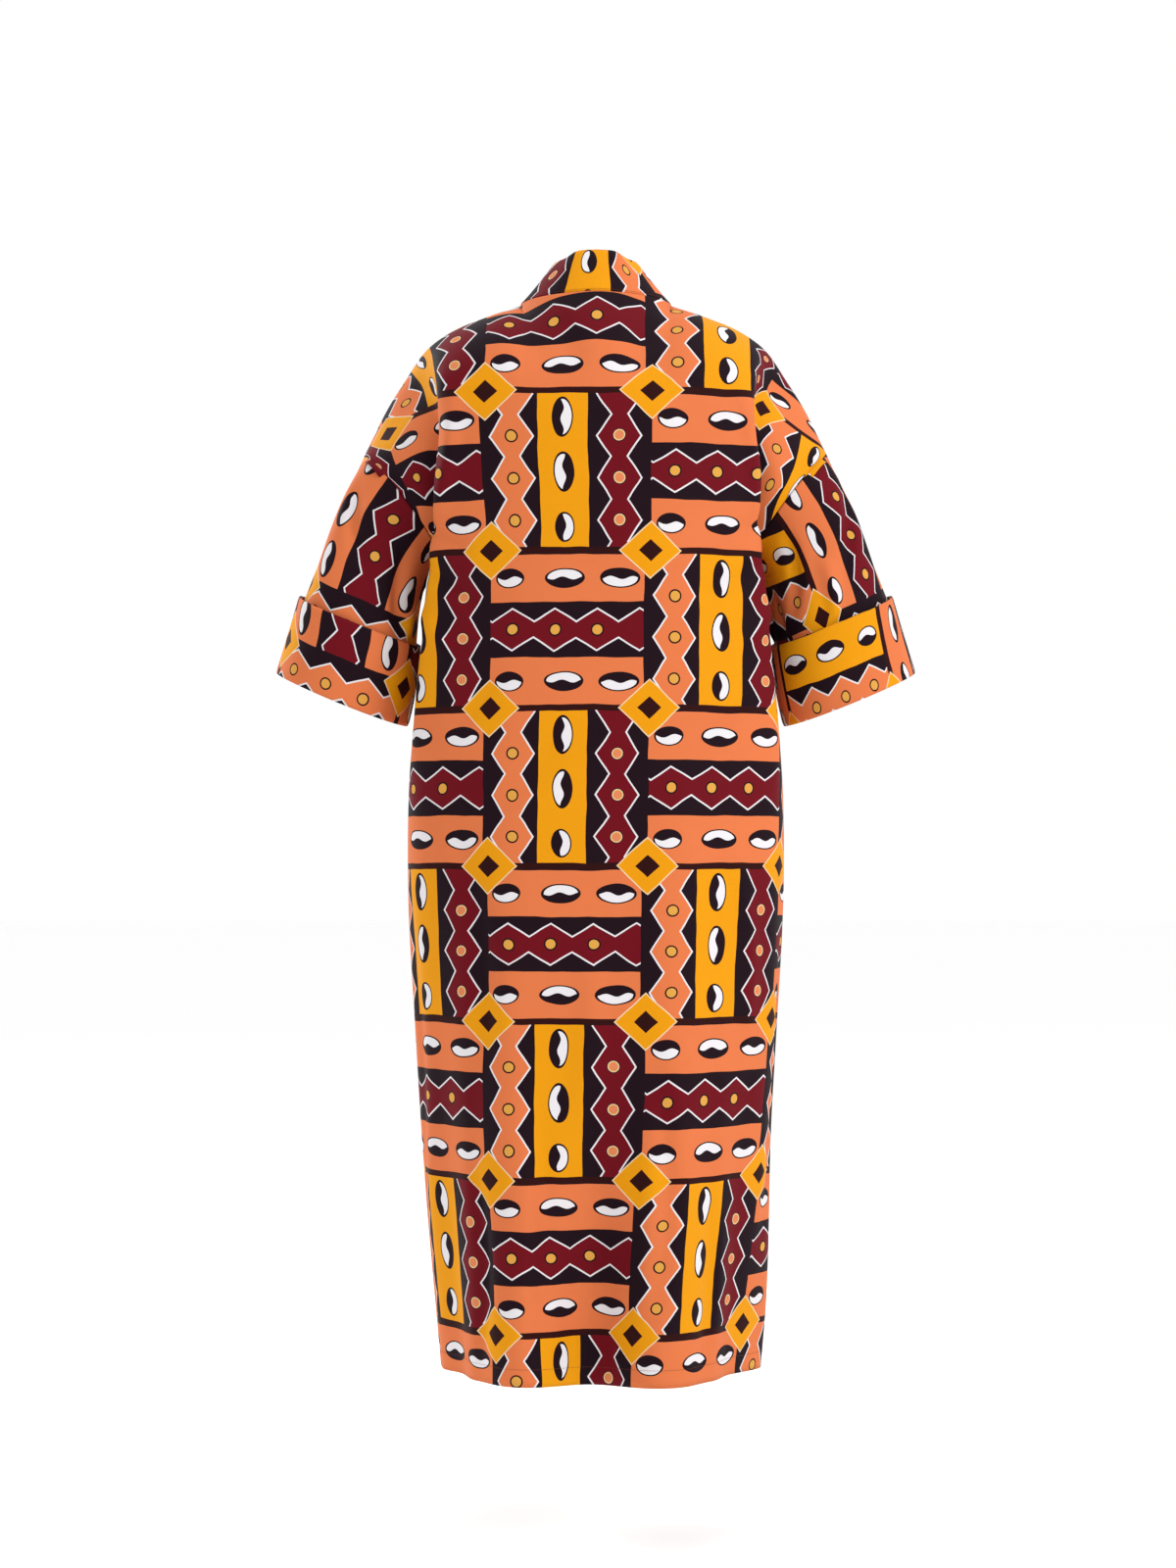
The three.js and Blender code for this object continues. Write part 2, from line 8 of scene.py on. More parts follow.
import bpy
import numpy as np
import logging
import math
from dataclasses import dataclass, field
from enum import Enum
from typing import Callable, Sequence
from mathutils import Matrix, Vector

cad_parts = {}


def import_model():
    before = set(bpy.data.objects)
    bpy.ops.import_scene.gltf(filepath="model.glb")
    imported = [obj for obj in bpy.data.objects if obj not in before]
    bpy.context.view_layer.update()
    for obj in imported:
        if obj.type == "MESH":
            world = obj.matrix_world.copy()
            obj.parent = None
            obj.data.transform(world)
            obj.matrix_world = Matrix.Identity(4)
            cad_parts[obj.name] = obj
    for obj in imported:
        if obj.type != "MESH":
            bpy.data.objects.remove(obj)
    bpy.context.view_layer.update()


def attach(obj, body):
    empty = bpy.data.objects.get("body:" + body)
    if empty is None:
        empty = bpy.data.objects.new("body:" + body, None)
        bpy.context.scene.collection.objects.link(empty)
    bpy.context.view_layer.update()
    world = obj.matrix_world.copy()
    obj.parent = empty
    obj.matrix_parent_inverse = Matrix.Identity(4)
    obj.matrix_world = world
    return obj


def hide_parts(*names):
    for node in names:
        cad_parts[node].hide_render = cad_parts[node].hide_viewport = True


log = logging.getLogger("robe")

Grid = np.ndarray  # points on a piece of cloth: rows, columns, 3
Place = tuple[float, float]
Colour = tuple[float, float, float, float]

CLOTH_MAP = "Cloth"  # the UV map that says where each point lies in the print
LEAST_LENGTH = 1e-12  # keeps a division by a length from failing
LEAST_SPAN = 1e-4  # two points of a curve that are closer than this are taken as one


class Side(Enum):
    """The wearer's left or right."""

    LEFT = 1
    RIGHT = -1

    @property
    def word(self) -> str:
        """How node names say it."""
        return self.name.lower()

    @property
    def flip(self) -> np.ndarray:
        """What turns a point on the left into this side's."""
        return np.array((self.value, 1, 1))


# Curves

def ease(t: np.ndarray | float) -> np.ndarray:
    """Smooth step from 0 to 1, held outside that range."""
    held = np.clip(t, 0, 1)
    return held * held * (3 - 2 * held)


def steps(count: int) -> np.ndarray:
    """Even shares from 0 to 1."""
    return np.linspace(0, 1, count + 1)


def unit(vectors: np.ndarray) -> np.ndarray:
    """The same vectors at length 1."""
    length = np.linalg.norm(vectors, axis=-1, keepdims=True)
    return vectors / np.maximum(length, LEAST_LENGTH)


def smooth_curve(points: np.ndarray, places: np.ndarray) -> np.ndarray:
    """Centripetal Catmull-Rom curves.

    Args:
        points: (count, ..., 3), one curve for each of the middle indices.
        places: positions along the curves, counted in points.

    Returns:
        (len(places), ..., 3)
    """
    padded = np.concatenate([2 * points[:1] - points[1:2], points, 2 * points[-1:] - points[-2:-1]])
    first = np.clip(np.floor(places).astype(int), 0, len(points) - 2)
    share = (places - first).reshape((-1,) + (1,) * (points.ndim - 1))
    p0, p1, p2, p3 = (padded[first + k] for k in range(4))
    spans = ((p0, p1), (p1, p2), (p2, p3))
    d0, d1, d2 = (np.sqrt(np.linalg.norm(b - a, axis=-1, keepdims=True)) for a, b in spans)
    d1 = np.where(d1 < LEAST_SPAN, 1.0, d1)
    d0 = np.where(d0 < LEAST_SPAN, d1, d0)
    d2 = np.where(d2 < LEAST_SPAN, d1, d2)
    t1 = ((p1 - p0) / d0 - (p2 - p0) / (d0 + d1) + (p2 - p1) / d1) * d1
    t2 = ((p2 - p1) / d1 - (p3 - p1) / (d1 + d2) + (p3 - p2) / d2) * d1
    c2 = -3 * p1 + 3 * p2 - 2 * t1 - t2
    c3 = 2 * p1 - 2 * p2 + t1 + t2
    return p1 + share * (t1 + share * (c2 + share * c3))


def lengths_along(points: np.ndarray, axis: int = 0) -> np.ndarray:
    """Distance run along a grid of points.

    Args:
        points: the grid.
        axis: 0 for down its rows, 1 for across its columns.

    Returns:
        A distance for each point, 0 at the first.
    """
    spans = np.linalg.norm(np.diff(points, axis=axis), axis=-1)
    start = np.zeros_like(np.take(spans, [0], axis=axis))
    return np.concatenate([start, np.cumsum(spans, axis=axis)], axis=axis)


def points_at(polyline: np.ndarray, distances: np.ndarray) -> np.ndarray:
    """Points at distances along one polyline."""
    run = lengths_along(polyline)
    return np.stack([np.interp(distances, run, polyline[:, k]) for k in range(3)], axis=-1)


def points_at_shares(polyline: np.ndarray, shares: np.ndarray) -> np.ndarray:
    """Points at shares of one polyline's length."""
    return points_at(polyline, shares * lengths_along(polyline)[-1])


def stretch(points: Sequence[np.ndarray], first: int, last: int) -> np.ndarray:
    """The part of a smooth curve between two of its points, as a fine polyline."""
    fineness = 160
    return smooth_curve(np.array(points), first + (last - first) * steps(fineness))


def outward_directions(rows: Grid, side: int, is_ring: bool) -> Grid:
    """Directions out of the cloth.

    Args:
        rows: points on the cloth.
        side: 1 or -1, whichever turns the directions outwards.
        is_ring: whether the last column meets the first.

    Returns:
        A direction of length 1 for each point.
    """
    if is_ring:
        across = np.roll(rows, -1, axis=1) - np.roll(rows, 1, axis=1)
    else:
        across = np.gradient(rows, axis=1)
    return unit(np.cross(across, np.gradient(rows, axis=0))) * side


# The worn form

@dataclass(frozen=True)
class Section:
    """One height of the body, on the half with x positive."""

    z: float
    back: float  # reach of the centre back
    crest: Place  # where the back turns to the side
    side: Place | None  # the side seam, below the armhole
    tuck: float  # how far the cloth falls in behind the crest
    front: Place  # where the front turns to the side
    edge: Place  # the seam with the band


@dataclass(frozen=True)
class WornForm:
    """The surface that back and fronts lie on, in one half. Levels count down from the shoulder line."""

    neck_half_width: float = 0.095
    neck_back_reach: float = 0.076
    neck_side_drop: float = 0.007
    back_half_width: float = 0.378
    band_width: float = 0.060
    band_set_back: float = 0.003  # how far the band's free edge lies behind the front
    shoulder_line: tuple[tuple[float, float, float], ...] = (
        (0.095, 0, -0.007),
        (0.136, -0.003, -0.021),
        (0.180, -0.006, -0.039),
        (0.213, -0.009, -0.063),
        (0.239, -0.012, -0.099),
        (0.260, -0.014, -0.132),
        (0.277, -0.015, -0.166),
        (0.291, -0.015, -0.196),
    )
    sections: tuple[Section, ...] = (
        Section(-0.150, 0.131, (0.190, 0.094), None, 0.022, (0.172, -0.098), (0.098, -0.116)),
        Section(-0.225, 0.136, (0.196, 0.090), None, 0.024, (0.178, -0.104), (0.098, -0.136)),
        Section(-0.322, 0.139, (0.203, 0.080), (0.193, -0.014), 0.008, (0.182, -0.106), (0.098, -0.152)),
        Section(-0.425, 0.141, (0.212, 0.072), (0.200, -0.018), 0.001, (0.186, -0.110), (0.098, -0.163)),
        Section(-0.560, 0.144, (0.219, 0.074), (0.222, -0.024), -0.007, (0.194, -0.120), (0.098, -0.173)),
        Section(-0.720, 0.151, (0.209, 0.084), (0.231, -0.028), -0.012, (0.197, -0.132), (0.099, -0.184)),
        Section(-0.920, 0.162, (0.190, 0.096), (0.223, -0.030), -0.014, (0.190, -0.146), (0.101, -0.198)),
        Section(-1.120, 0.175, (0.172, 0.106), (0.211, -0.034), -0.014, (0.179, -0.158), (0.104, -0.212)),
        Section(-1.322, 0.188, (0.154, 0.116), (0.193, -0.038), -0.014, (0.164, -0.170), (0.108, -0.224)),
    )
    yoke_level: int = 3  # the first section's
    underarm_level: int = 5
    neck_roundness: float = 0.4
    back_armhole_blend: float = 0.2
    front_armhole_blend: float = 0.25
    back_rounding: Place = (0.52, 0.16)
    back_tucks: tuple[Place, Place] = ((0.36, 1.0), (0.72, 0.7))
    front_tucks: tuple[Place, Place] = ((0.30, 0.4), (0.66, 0.6))
    chest_swell: float = 0.007
    armhole_swell: float = 0.005
    armhole_back_reach: float = 0.068
    armhole_front_reach: float = 0.074
    armhole_lift: float = 0.014
    neck_columns: int = 20
    shoulder_columns: int = 66
    yoke_rows: int = 66
    skirt_rows: int = 150

    @property
    def hem_level(self) -> int:
        """The last section's level."""
        return self.yoke_level + len(self.sections) - 1

    @property
    def neck_share(self) -> float:
        """The share of the back's width that lies under the band."""
        return self.neck_half_width / self.back_half_width

    @property
    def back_shares(self) -> np.ndarray:
        """The back's columns, from the centre to the seam."""
        past_neck = self.neck_share + steps(self.shoulder_columns)[1:] * (1 - self.neck_share)
        return np.concatenate([steps(self.neck_columns) * self.neck_share, past_neck])

    @property
    def front_shares(self) -> np.ndarray:
        """A front's columns, from the seam to the band."""
        return steps(self.shoulder_columns)

    @property
    def row_levels(self) -> np.ndarray:
        """The level of each row."""
        below = self.underarm_level + steps(self.skirt_rows)[1:] * (self.hem_level - self.underarm_level)
        return np.concatenate([steps(self.yoke_rows) * self.underarm_level, below])

    def section_at(self, level: int) -> Section:
        """The section at a level."""
        return self.sections[level - self.yoke_level]

    def seam_point(self, level: int, is_back: bool) -> np.ndarray:
        """Where a level meets the sleeve, or from the underarm down the side seam.

        Args:
            level: counted down from the shoulder line.
            is_back: whether the point is on the back's edge or on the front's.

        Returns:
            The point.
        """
        row = self.section_at(max(level, self.underarm_level))
        side = np.array((*row.side, row.z))
        if level >= self.underarm_level:
            return side
        angle = math.pi * level / self.underarm_level
        share = (1 + math.cos(angle)) / 2
        on_axis = side * (1 - share) + np.array(self.shoulder_line[-1]) * share
        reach = self.armhole_back_reach if is_back else -self.armhole_front_reach
        return on_axis + np.array((0, reach, self.armhole_lift)) * math.sin(angle)

    @staticmethod
    def beside_line(start: np.ndarray, end: np.ndarray, share: float, outwards: float) -> np.ndarray:
        """A point on the way between two places, moved away from the upright axis.

        Args:
            start: the first place.
            end: the second place.
            share: how far along the way it is.
            outwards: how far it is moved.

        Returns:
            The point.
        """
        along = end - start
        away = unit(np.array((-along[1], along[0], 0)))
        if away[0] < 0:
            away = -away
        return start + along * share + away * outwards

    def section_curves(self, level: int) -> tuple[np.ndarray, np.ndarray]:
        """One section of the half.

        Args:
            level: the section's.

        Returns:
            Its curve from the centre back to the seam, and from the seam to the band.
        """
        row = self.section_at(level)
        centre = np.array((0, row.back, row.z))
        crest = np.array((*row.crest, row.z))
        corner = np.array((*row.front, row.z))
        edge = np.array((*row.edge, row.z))
        across, fall = self.back_rounding
        rounding = np.array((row.crest[0] * across, row.back - (row.back - row.crest[1]) * fall, row.z))
        back_seam = self.seam_point(level, True)
        front_seam = self.seam_point(level, False)
        back_out = [-row.tuck * depth for _, depth in self.back_tucks]
        front_out = [-row.tuck * depth for _, depth in self.front_tucks]
        if level < self.underarm_level - 1:
            back_out[-1] = self.armhole_swell
            front_out[0] = self.armhole_swell
        behind = [
            self.beside_line(crest, back_seam, share, out)
            for (share, _), out in zip(self.back_tucks, back_out)
        ]
        before = [
            self.beside_line(front_seam, corner, share, out)
            for (share, _), out in zip(self.front_tucks, front_out)
        ]
        chest = (corner + edge) / 2 - (0, self.chest_swell, 0)
        into_band = edge - (self.band_width, self.band_set_back, 0)
        back = [rounding * (-1, 1, 1), centre, rounding, crest, *behind, back_seam]
        front = [front_seam, *before, corner, chest, edge, into_band]
        centre_at, seam_at, edge_at = 1, len(back) - 1, len(front) - 2
        if level < self.underarm_level:
            return stretch(back, centre_at, seam_at), stretch(front, 0, edge_at)
        whole = back + front[1:]
        return stretch(whole, centre_at, seam_at), stretch(whole, seam_at, seam_at + edge_at)

    def top_edge(self) -> tuple[np.ndarray, np.ndarray]:
        """The upper edges of the cloth.

        Returns:
            The back's, which is the neckline and the shoulder line, and a front's, from seam to band.
        """
        t = steps(self.neck_columns)
        angle = t * math.pi / 2
        x = self.neck_half_width * np.sin(angle)
        neckline = np.stack([x, self.neck_back_reach * np.cos(angle), -self.neck_side_drop * t], axis=-1)
        line = stretch(self.shoulder_line, 0, len(self.shoulder_line) - 1)
        shoulder = points_at_shares(line, self.front_shares)
        return np.concatenate([neckline, shoulder[1:]]), shoulder[::-1]

    @staticmethod
    def over_shoulder(top: np.ndarray, wall: np.ndarray, share: float, roundness: np.ndarray) -> np.ndarray:
        """The cloth's way over the shoulder.

        Args:
            top: points of the top edge.
            wall: the same columns' points on the first section.
            share: how far along the way the row is.
            roundness: how far each column goes from a straight way (0) to a quarter circle (1).

        Returns:
            The row's points.
        """
        angle = share * math.pi / 2
        outwards = share + (math.sin(angle) - share) * roundness
        down = share + (1 - math.cos(angle) - share) * roundness
        return top + (wall - top) * np.stack([outwards, outwards, down], axis=-1)

    def level_points(self) -> tuple[np.ndarray, np.ndarray]:
        """Points of the half, a row for each level.

        Returns:
            The back's and the front's.
        """
        back_top, front_top = self.top_edge()
        curves = [self.section_curves(level) for level in range(self.yoke_level, self.hem_level + 1)]
        back_rows = [points_at_shares(curve[0], self.back_shares) for curve in curves]
        front_rows = [points_at_shares(curve[1], self.front_shares) for curve in curves]
        past_neck = ease(self.back_shares / self.neck_share - self.neck_roundness)
        back_round = self.neck_roundness + (1 - self.neck_roundness) * past_neck
        front_round = np.ones_like(self.front_shares)
        near_back_seam = ease(1 - (1 - self.back_shares) / self.back_armhole_blend)[:, None]
        near_front_seam = ease(1 - self.front_shares / self.front_armhole_blend)[:, None]
        back_arch, front_arch = [], []
        for level in range(1, self.yoke_level):
            share = level / self.yoke_level
            arched = self.over_shoulder(back_top, back_rows[0], share, back_round)
            back_arch.append(arched + (self.seam_point(level, True) - arched) * near_back_seam)
            arched = self.over_shoulder(front_top, front_rows[0], share, front_round)
            front_arch.append(arched + (self.seam_point(level, False) - arched) * near_front_seam)
        return np.stack([back_top, *back_arch, *back_rows]), np.stack([front_top, *front_arch, *front_rows])

    def smooth_rows(self, levels: np.ndarray, beyond_top: np.ndarray, seam_column: int) -> Grid:
        """The rows of a panel: each column is a smooth curve down through the levels.

        The column on the seam turns sharply at the underarm, from the armhole into the side seam.

        Args:
            levels: points of the panel, a row for each level.
            beyond_top: a row of points above the first, which gives the curves their start.
            seam_column: the column on the seam.

        Returns:
            The panel's points.
        """
        points = np.concatenate([beyond_top[None], levels])
        rows = smooth_curve(points, self.row_levels + 1)
        is_skirt = self.row_levels >= self.underarm_level
        seam = points[self.underarm_level + 1 :, seam_column]
        rows[is_skirt, seam_column] = smooth_curve(seam, self.row_levels[is_skirt] - self.underarm_level)
        return rows

    def half(self) -> tuple[Grid, Grid]:
        """Both panels of the half.

        Returns:
            Its back, from centre to seam, and its front, from seam to band.
        """
        back, front = self.level_points()
        neck = self.neck_columns
        beyond_back = np.concatenate([2 * back[0, :neck] - back[1, :neck], front[1][::-1]])
        beyond_front = back[1, neck:][::-1]
        return self.smooth_rows(back, beyond_back, -1), self.smooth_rows(front, beyond_front, 0)


# Blender's objects and nodes

def new_object(name: str, data: bpy.types.ID) -> bpy.types.Object:
    """Puts a mesh, curve, light or camera into the scene.

    Args:
        name: the object's.
        data: what it shows.

    Returns:
        The object, at the origin.
    """
    made = bpy.data.objects.new(name, data)
    bpy.context.collection.objects.link(made)
    return made


def add_node(tree: bpy.types.NodeTree, kind: str, inputs: dict | None = None,
             **settings: object) -> bpy.types.Node:
    """Adds a node to a tree.

    Args:
        tree: where it goes.
        kind: the type of node.
        inputs: what each input takes, by its name or number: another node's output, or a value.
        settings: the node's own options.

    Returns:
        The node.
    """
    node = tree.nodes.new(kind)
    for option, value in settings.items():
        setattr(node, option, value)
    for key, value in (inputs or {}).items():
        if isinstance(value, bpy.types.NodeSocket):
            tree.links.new(value, node.inputs[key])
        else:
            node.inputs[key].default_value = value
    return node


def new_finish(name: str, even: dict[str, float | Colour]) -> tuple[bpy.types.Material, bpy.types.Node]:
    """Makes a material with one shader.

    Args:
        name: the material's.
        even: what is the same all over, by the names of the shader's inputs.

    Returns:
        The material and its shader.
    """
    material = bpy.data.materials.new(name)
    material.use_nodes = True
    shader = material.node_tree.nodes["Principled BSDF"]
    for key, value in even.items():
        shader.inputs[key].default_value = value
    return material, shader


# Cloth

@dataclass(frozen=True)
class Fold:
    """A long soft fold down a panel: out, or in where its height is negative."""

    across: float
    reach: float
    height: float
    start: float  # the height at which it begins
    full: float  # the height at which it has all its depth


def folded(rows: Grid, side: int, folds: Sequence[Fold], across: np.ndarray) -> Grid:
    """Lays a panel's long folds in.

    Args:
        rows: points on the cloth.
        side: 1 or -1, whichever turns directions out of the cloth.
        folds: the folds.
        across: how far across the panel each column lies.

    Returns:
        The moved points.
    """
    heights = np.zeros(rows.shape[:2])
    for fold in folds:
        off = np.minimum(1, np.abs(across - fold.across) / fold.reach)
        grown = ease((fold.start - rows[..., 2]) / (fold.start - fold.full))
        heights += fold.height * grown * (1 + np.cos(math.pi * off)) / 2
    return rows + outward_directions(rows, side, False) * heights[..., None]


@dataclass(frozen=True)
class Crease:
    """A soft trough along a line on the cloth, or a ridge where its height is positive.

    start and end are (across, down): across from the centre back, from the side seam on a front, or
    round the arm from its top towards the back; down from the neck's height, or from the armhole.
    """

    start: Place
    end: Place
    width: float
    height: float
    bend: float = 0.06  # how far its line bows aside, as a share of its length
    fade: float = 1.2  # how early it fades towards its ends
    shoulders: float = 0.45  # how much its low shoulders rise
    softness: float = 1.6  # how far its shoulders reach out

    def heights(self, across: np.ndarray, down: np.ndarray) -> np.ndarray:
        """How far it lifts the cloth: a trough between two low shoulders, on a slightly bent line.

        Args:
            across: where each point lies across the flat cloth.
            down: where it lies down it.

        Returns:
            A height for each point.
        """
        start, end = np.array(self.start), np.array(self.end)
        length = np.linalg.norm(end - start)
        along = (end - start) / length
        run = (across - start[0]) * along[0] + (down - start[1]) * along[1]
        off = (down - start[1]) * along[0] - (across - start[0]) * along[1]
        bend = self.bend * length * np.sin(math.pi * np.clip(run / length, 0, 1))
        near = (off - bend) / self.width
        fades = np.clip(1 - (2 * run / length - 1) ** 2, 0, 1) ** self.fade
        return self.height * fades * (1 - self.shoulders * near**2) * np.exp(-(near**2) / self.softness)


def creases_from(*rows: Sequence[float]) -> tuple[Crease, ...]:
    """Creases from rows in millimetres: across and down at the start and at the end, width, height."""
    in_metres = ([value / 1000 for value in row] for row in rows)
    return tuple(Crease((x0, y0), (x1, y1), width, height) for x0, y0, x1, y1, width, height in in_metres)


@dataclass(frozen=True)
class Seams:
    """Which edges of a sheet are sewn to another piece, and how the cloth goes into the seam."""

    top: bool = False
    left: bool = False
    right: bool = False
    groove: float = 0.0009  # how far the cloth dips beside the seam
    shoulder: float = 0.0016  # how far from the seam the dip begins
    shoulder_share: float = 0.9  # at most this much of the way to the next points
    allowance: float = 0.008  # turned to the inside
    clearance: float = 0.00012


@dataclass
class Sheet:
    """A piece of cloth as a grid of points on its outer face.

    across and down are the flat cloth's own coordinates, for creases. place is where each point lies
    in the print. A ring has one more column of these than of points, so that it closes.
    """

    rows: Grid
    side: int
    is_ring: bool
    across: np.ndarray
    down: np.ndarray
    place: np.ndarray

    def outwards(self) -> Grid:
        """Directions out of the cloth at each point."""
        return outward_directions(self.rows, self.side, self.is_ring)

    def lift(self, heights: np.ndarray) -> None:
        """Moves each point out of the cloth by its height."""
        self.rows = self.rows + self.outwards() * heights[..., None]

    def crease(self, creases: Sequence[Crease], smooth_end: float = 0.0) -> None:
        """Presses creases in, which fade out before the edges.

        Args:
            creases: the creases.
            smooth_end: how much of the sheet's end stays smooth.
        """
        columns = self.rows.shape[1]
        across, down = self.across[:, :columns], self.down[:, :columns]
        heights = sum(crease.heights(across, down) for crease in creases)
        self.lift(heights * self.edge_fade(smooth_end))

    def edge_fade(self, smooth_end: float, reach: float = 0.018) -> np.ndarray:
        """How much of a crease is left near the edges. A ring has only its two ends.

        Args:
            smooth_end: how much of the sheet's end stays smooth.
            reach: how far from an edge a crease has its whole height.

        Returns:
            A share for each point, 0 on the edges and 1 from reach inwards.
        """
        down = lengths_along(self.rows, 0)
        fade = ease(down / reach) * ease((down[-1] - down - smooth_end) / reach)
        if not self.is_ring:
            across = lengths_along(self.rows, 1)
            fade = fade * ease(across / reach) * ease((across[:, -1:] - across) / reach)
        return fade

    def turned_in(self, seams: Seams) -> "Sheet":
        """Turns the allowances of the sewn edges to the inside.

        Args:
            seams: which edges are sewn.

        Returns:
            The sheet with its allowances.
        """
        sheet, outwards = self, self.outwards()
        for is_sewn, axis, is_end in ((seams.left, 1, False), (seams.right, 1, True), (seams.top, 0, False)):
            if is_sewn:
                sheet, outwards = sheet._turn_edge(outwards, seams, axis, is_end)
        return sheet

    def _turn_edge(self, outwards: Grid, seams: Seams, axis: int, is_end: bool) -> tuple["Sheet", Grid]:
        """Turns one edge in: the cloth dips beside the seam, then goes to the inside.

        Args:
            outwards: directions out of the cloth.
            seams: how far the cloth dips and goes in.
            axis: 0 for an edge that is a row, 1 for one that is a column.
            is_end: whether it is the last row or column, or the first.

        Returns:
            The sheet, and the outward directions of its points.
        """
        first, second = (-1, -2) if is_end else (0, 1)

        def pick(values: np.ndarray, index: int) -> np.ndarray:
            """One row or column."""
            return np.take(values, [index], axis=axis)

        def join(values: np.ndarray, *added: np.ndarray) -> np.ndarray:
            """Puts new rows or columns in place of the edge.

            Args:
                values: the grid.
                added: the new ones, from the cloth outwards.

            Returns:
                The longer grid.
            """
            count = values.shape[axis]
            rest = np.take(values, range(count - 1) if is_end else range(1, count), axis=axis)
            return np.concatenate([rest, *added] if is_end else [*added[::-1], rest], axis=axis)

        edge, inner, out = pick(self.rows, first), pick(self.rows, second), pick(outwards, first)
        inwards = inner - edge
        share = seams.shoulder / np.linalg.norm(inwards, axis=-1, keepdims=True)
        share = np.minimum(share, seams.shoulder_share)
        clear = edge + unit(inwards) * seams.clearance
        dip, inside = clear - out * seams.groove, clear - out * seams.allowance
        rows = join(self.rows, edge + inwards * share, dip, inside)
        if self.is_ring:
            share = np.concatenate([share, share[:, :1]], axis=1)
        near, next_to = pick(self.place, first), pick(self.place, second)
        place = join(self.place, near + (next_to - near) * share, near, near)
        sheet = Sheet(rows, self.side, self.is_ring, self.across, self.down, place)
        return sheet, join(outwards, out, out, out)


def shell_object(name: str, outer: Grid, inner: Grid, sheet: Sheet) -> bpy.types.Object:
    """Makes a closed thin shell between two grids of points.

    Args:
        name: the object's.
        outer: points on one face.
        inner: points on the other.
        sheet: says whether the grids are rings, and where each point lies in the print.

    Returns:
        The object, with the places in the print as its UV map.
    """
    row_count, column_count = outer.shape[:2]
    spans = column_count if sheet.is_ring else column_count - 1
    points = np.concatenate([outer.reshape(-1, 3), inner.reshape(-1, 3)])
    faces, uvs = [], []

    def add(*corners: tuple[np.ndarray, np.ndarray, int]) -> None:
        """Adds faces with four corners.

        Args:
            corners: for each corner the rows, the columns, and 0 for the outer face or 1 for the inner.
        """
        full = [np.broadcast_arrays(*corner) for corner in corners]
        rows, columns, layers = (np.stack(part, axis=1) for part in zip(*full))
        faces.append((layers * row_count + rows) * column_count + columns % column_count)
        uvs.append(sheet.place[rows, columns])

    i, j = (part.ravel() for part in np.meshgrid(np.arange(row_count - 1), np.arange(spans), indexing="ij"))
    add((i, j, 0), (i + 1, j, 0), (i + 1, j + 1, 0), (i, j + 1, 0))
    add((i, j, 1), (i, j + 1, 1), (i + 1, j + 1, 1), (i + 1, j, 1))
    column, top, bottom = np.arange(spans), np.zeros(spans, int), np.full(spans, row_count - 1)
    add((top, column, 0), (top, column + 1, 0), (top, column + 1, 1), (top, column, 1))
    add((bottom, column, 1), (bottom, column + 1, 1), (bottom, column + 1, 0), (bottom, column, 0))
    if not sheet.is_ring:
        row = np.arange(row_count - 1)
        left, right = np.zeros(len(row), int), np.full(len(row), spans)
        add((row, left, 1), (row + 1, left, 1), (row + 1, left, 0), (row, left, 0))
        add((row, right, 0), (row + 1, right, 0), (row + 1, right, 1), (row, right, 1))
    corners = np.concatenate(faces)
    if shell_volume(points, corners) < 0:
        corners = corners[:, ::-1]
        uvs = [part[:, ::-1] for part in uvs]
    mesh = bpy.data.meshes.new(name)
    mesh.from_pydata(points.tolist(), [], corners.tolist())
    layer = mesh.uv_layers.new(name=CLOTH_MAP)
    layer.data.foreach_set("uv", np.concatenate(uvs).astype(np.float32).ravel())
    mesh.polygons.foreach_set("use_smooth", [True] * len(mesh.polygons))
    mesh.update()
    return new_object(name, mesh)


def shell_volume(points: np.ndarray, faces: np.ndarray) -> float:
    """Signed volume, positive where the faces look out."""
    a, b, c, d = (points[faces[:, k]] for k in range(4))
    return float(np.sum(a * np.cross(b, c)) + np.sum(a * np.cross(c, d))) / 6


@dataclass(frozen=True)
class Cut:
    """The flat cut of one piece."""

    width: float
    length: float
    area: float


@dataclass(frozen=True)
class Layer:
    """How thick a piece is sewn: a single layer, or folded double with rounded free edges."""

    thickness: float = 0.0006
    is_folded: bool = False
    grows_out: bool = False
    edge_share: float = 0.35  # the thickness that is left on a folded edge

    def profile(self, sheet: Sheet, seams: Seams) -> np.ndarray:
        """Thickness over the cloth.

        Args:
            sheet: the cloth.
            seams: its sewn edges, which aren't rounded.

        Returns:
            A thickness for each point, with a last axis of one.
        """
        from_top = lengths_along(sheet.rows, 0)
        if not self.is_folded:
            return np.full((*from_top.shape, 1), self.thickness)
        rounding = self._rounded(from_top[-1] - from_top)
        if not seams.top:
            rounding = rounding * self._rounded(from_top)
        share = self.edge_share + (1 - self.edge_share) * np.sqrt(rounding)
        return (self.thickness * share)[..., None]

    def _rounded(self, distance: np.ndarray) -> np.ndarray:
        """0 at a folded edge and 1 from one thickness inwards."""
        return 1 - (1 - np.clip(distance / self.thickness, 0, 1)) ** 2


# The pieces

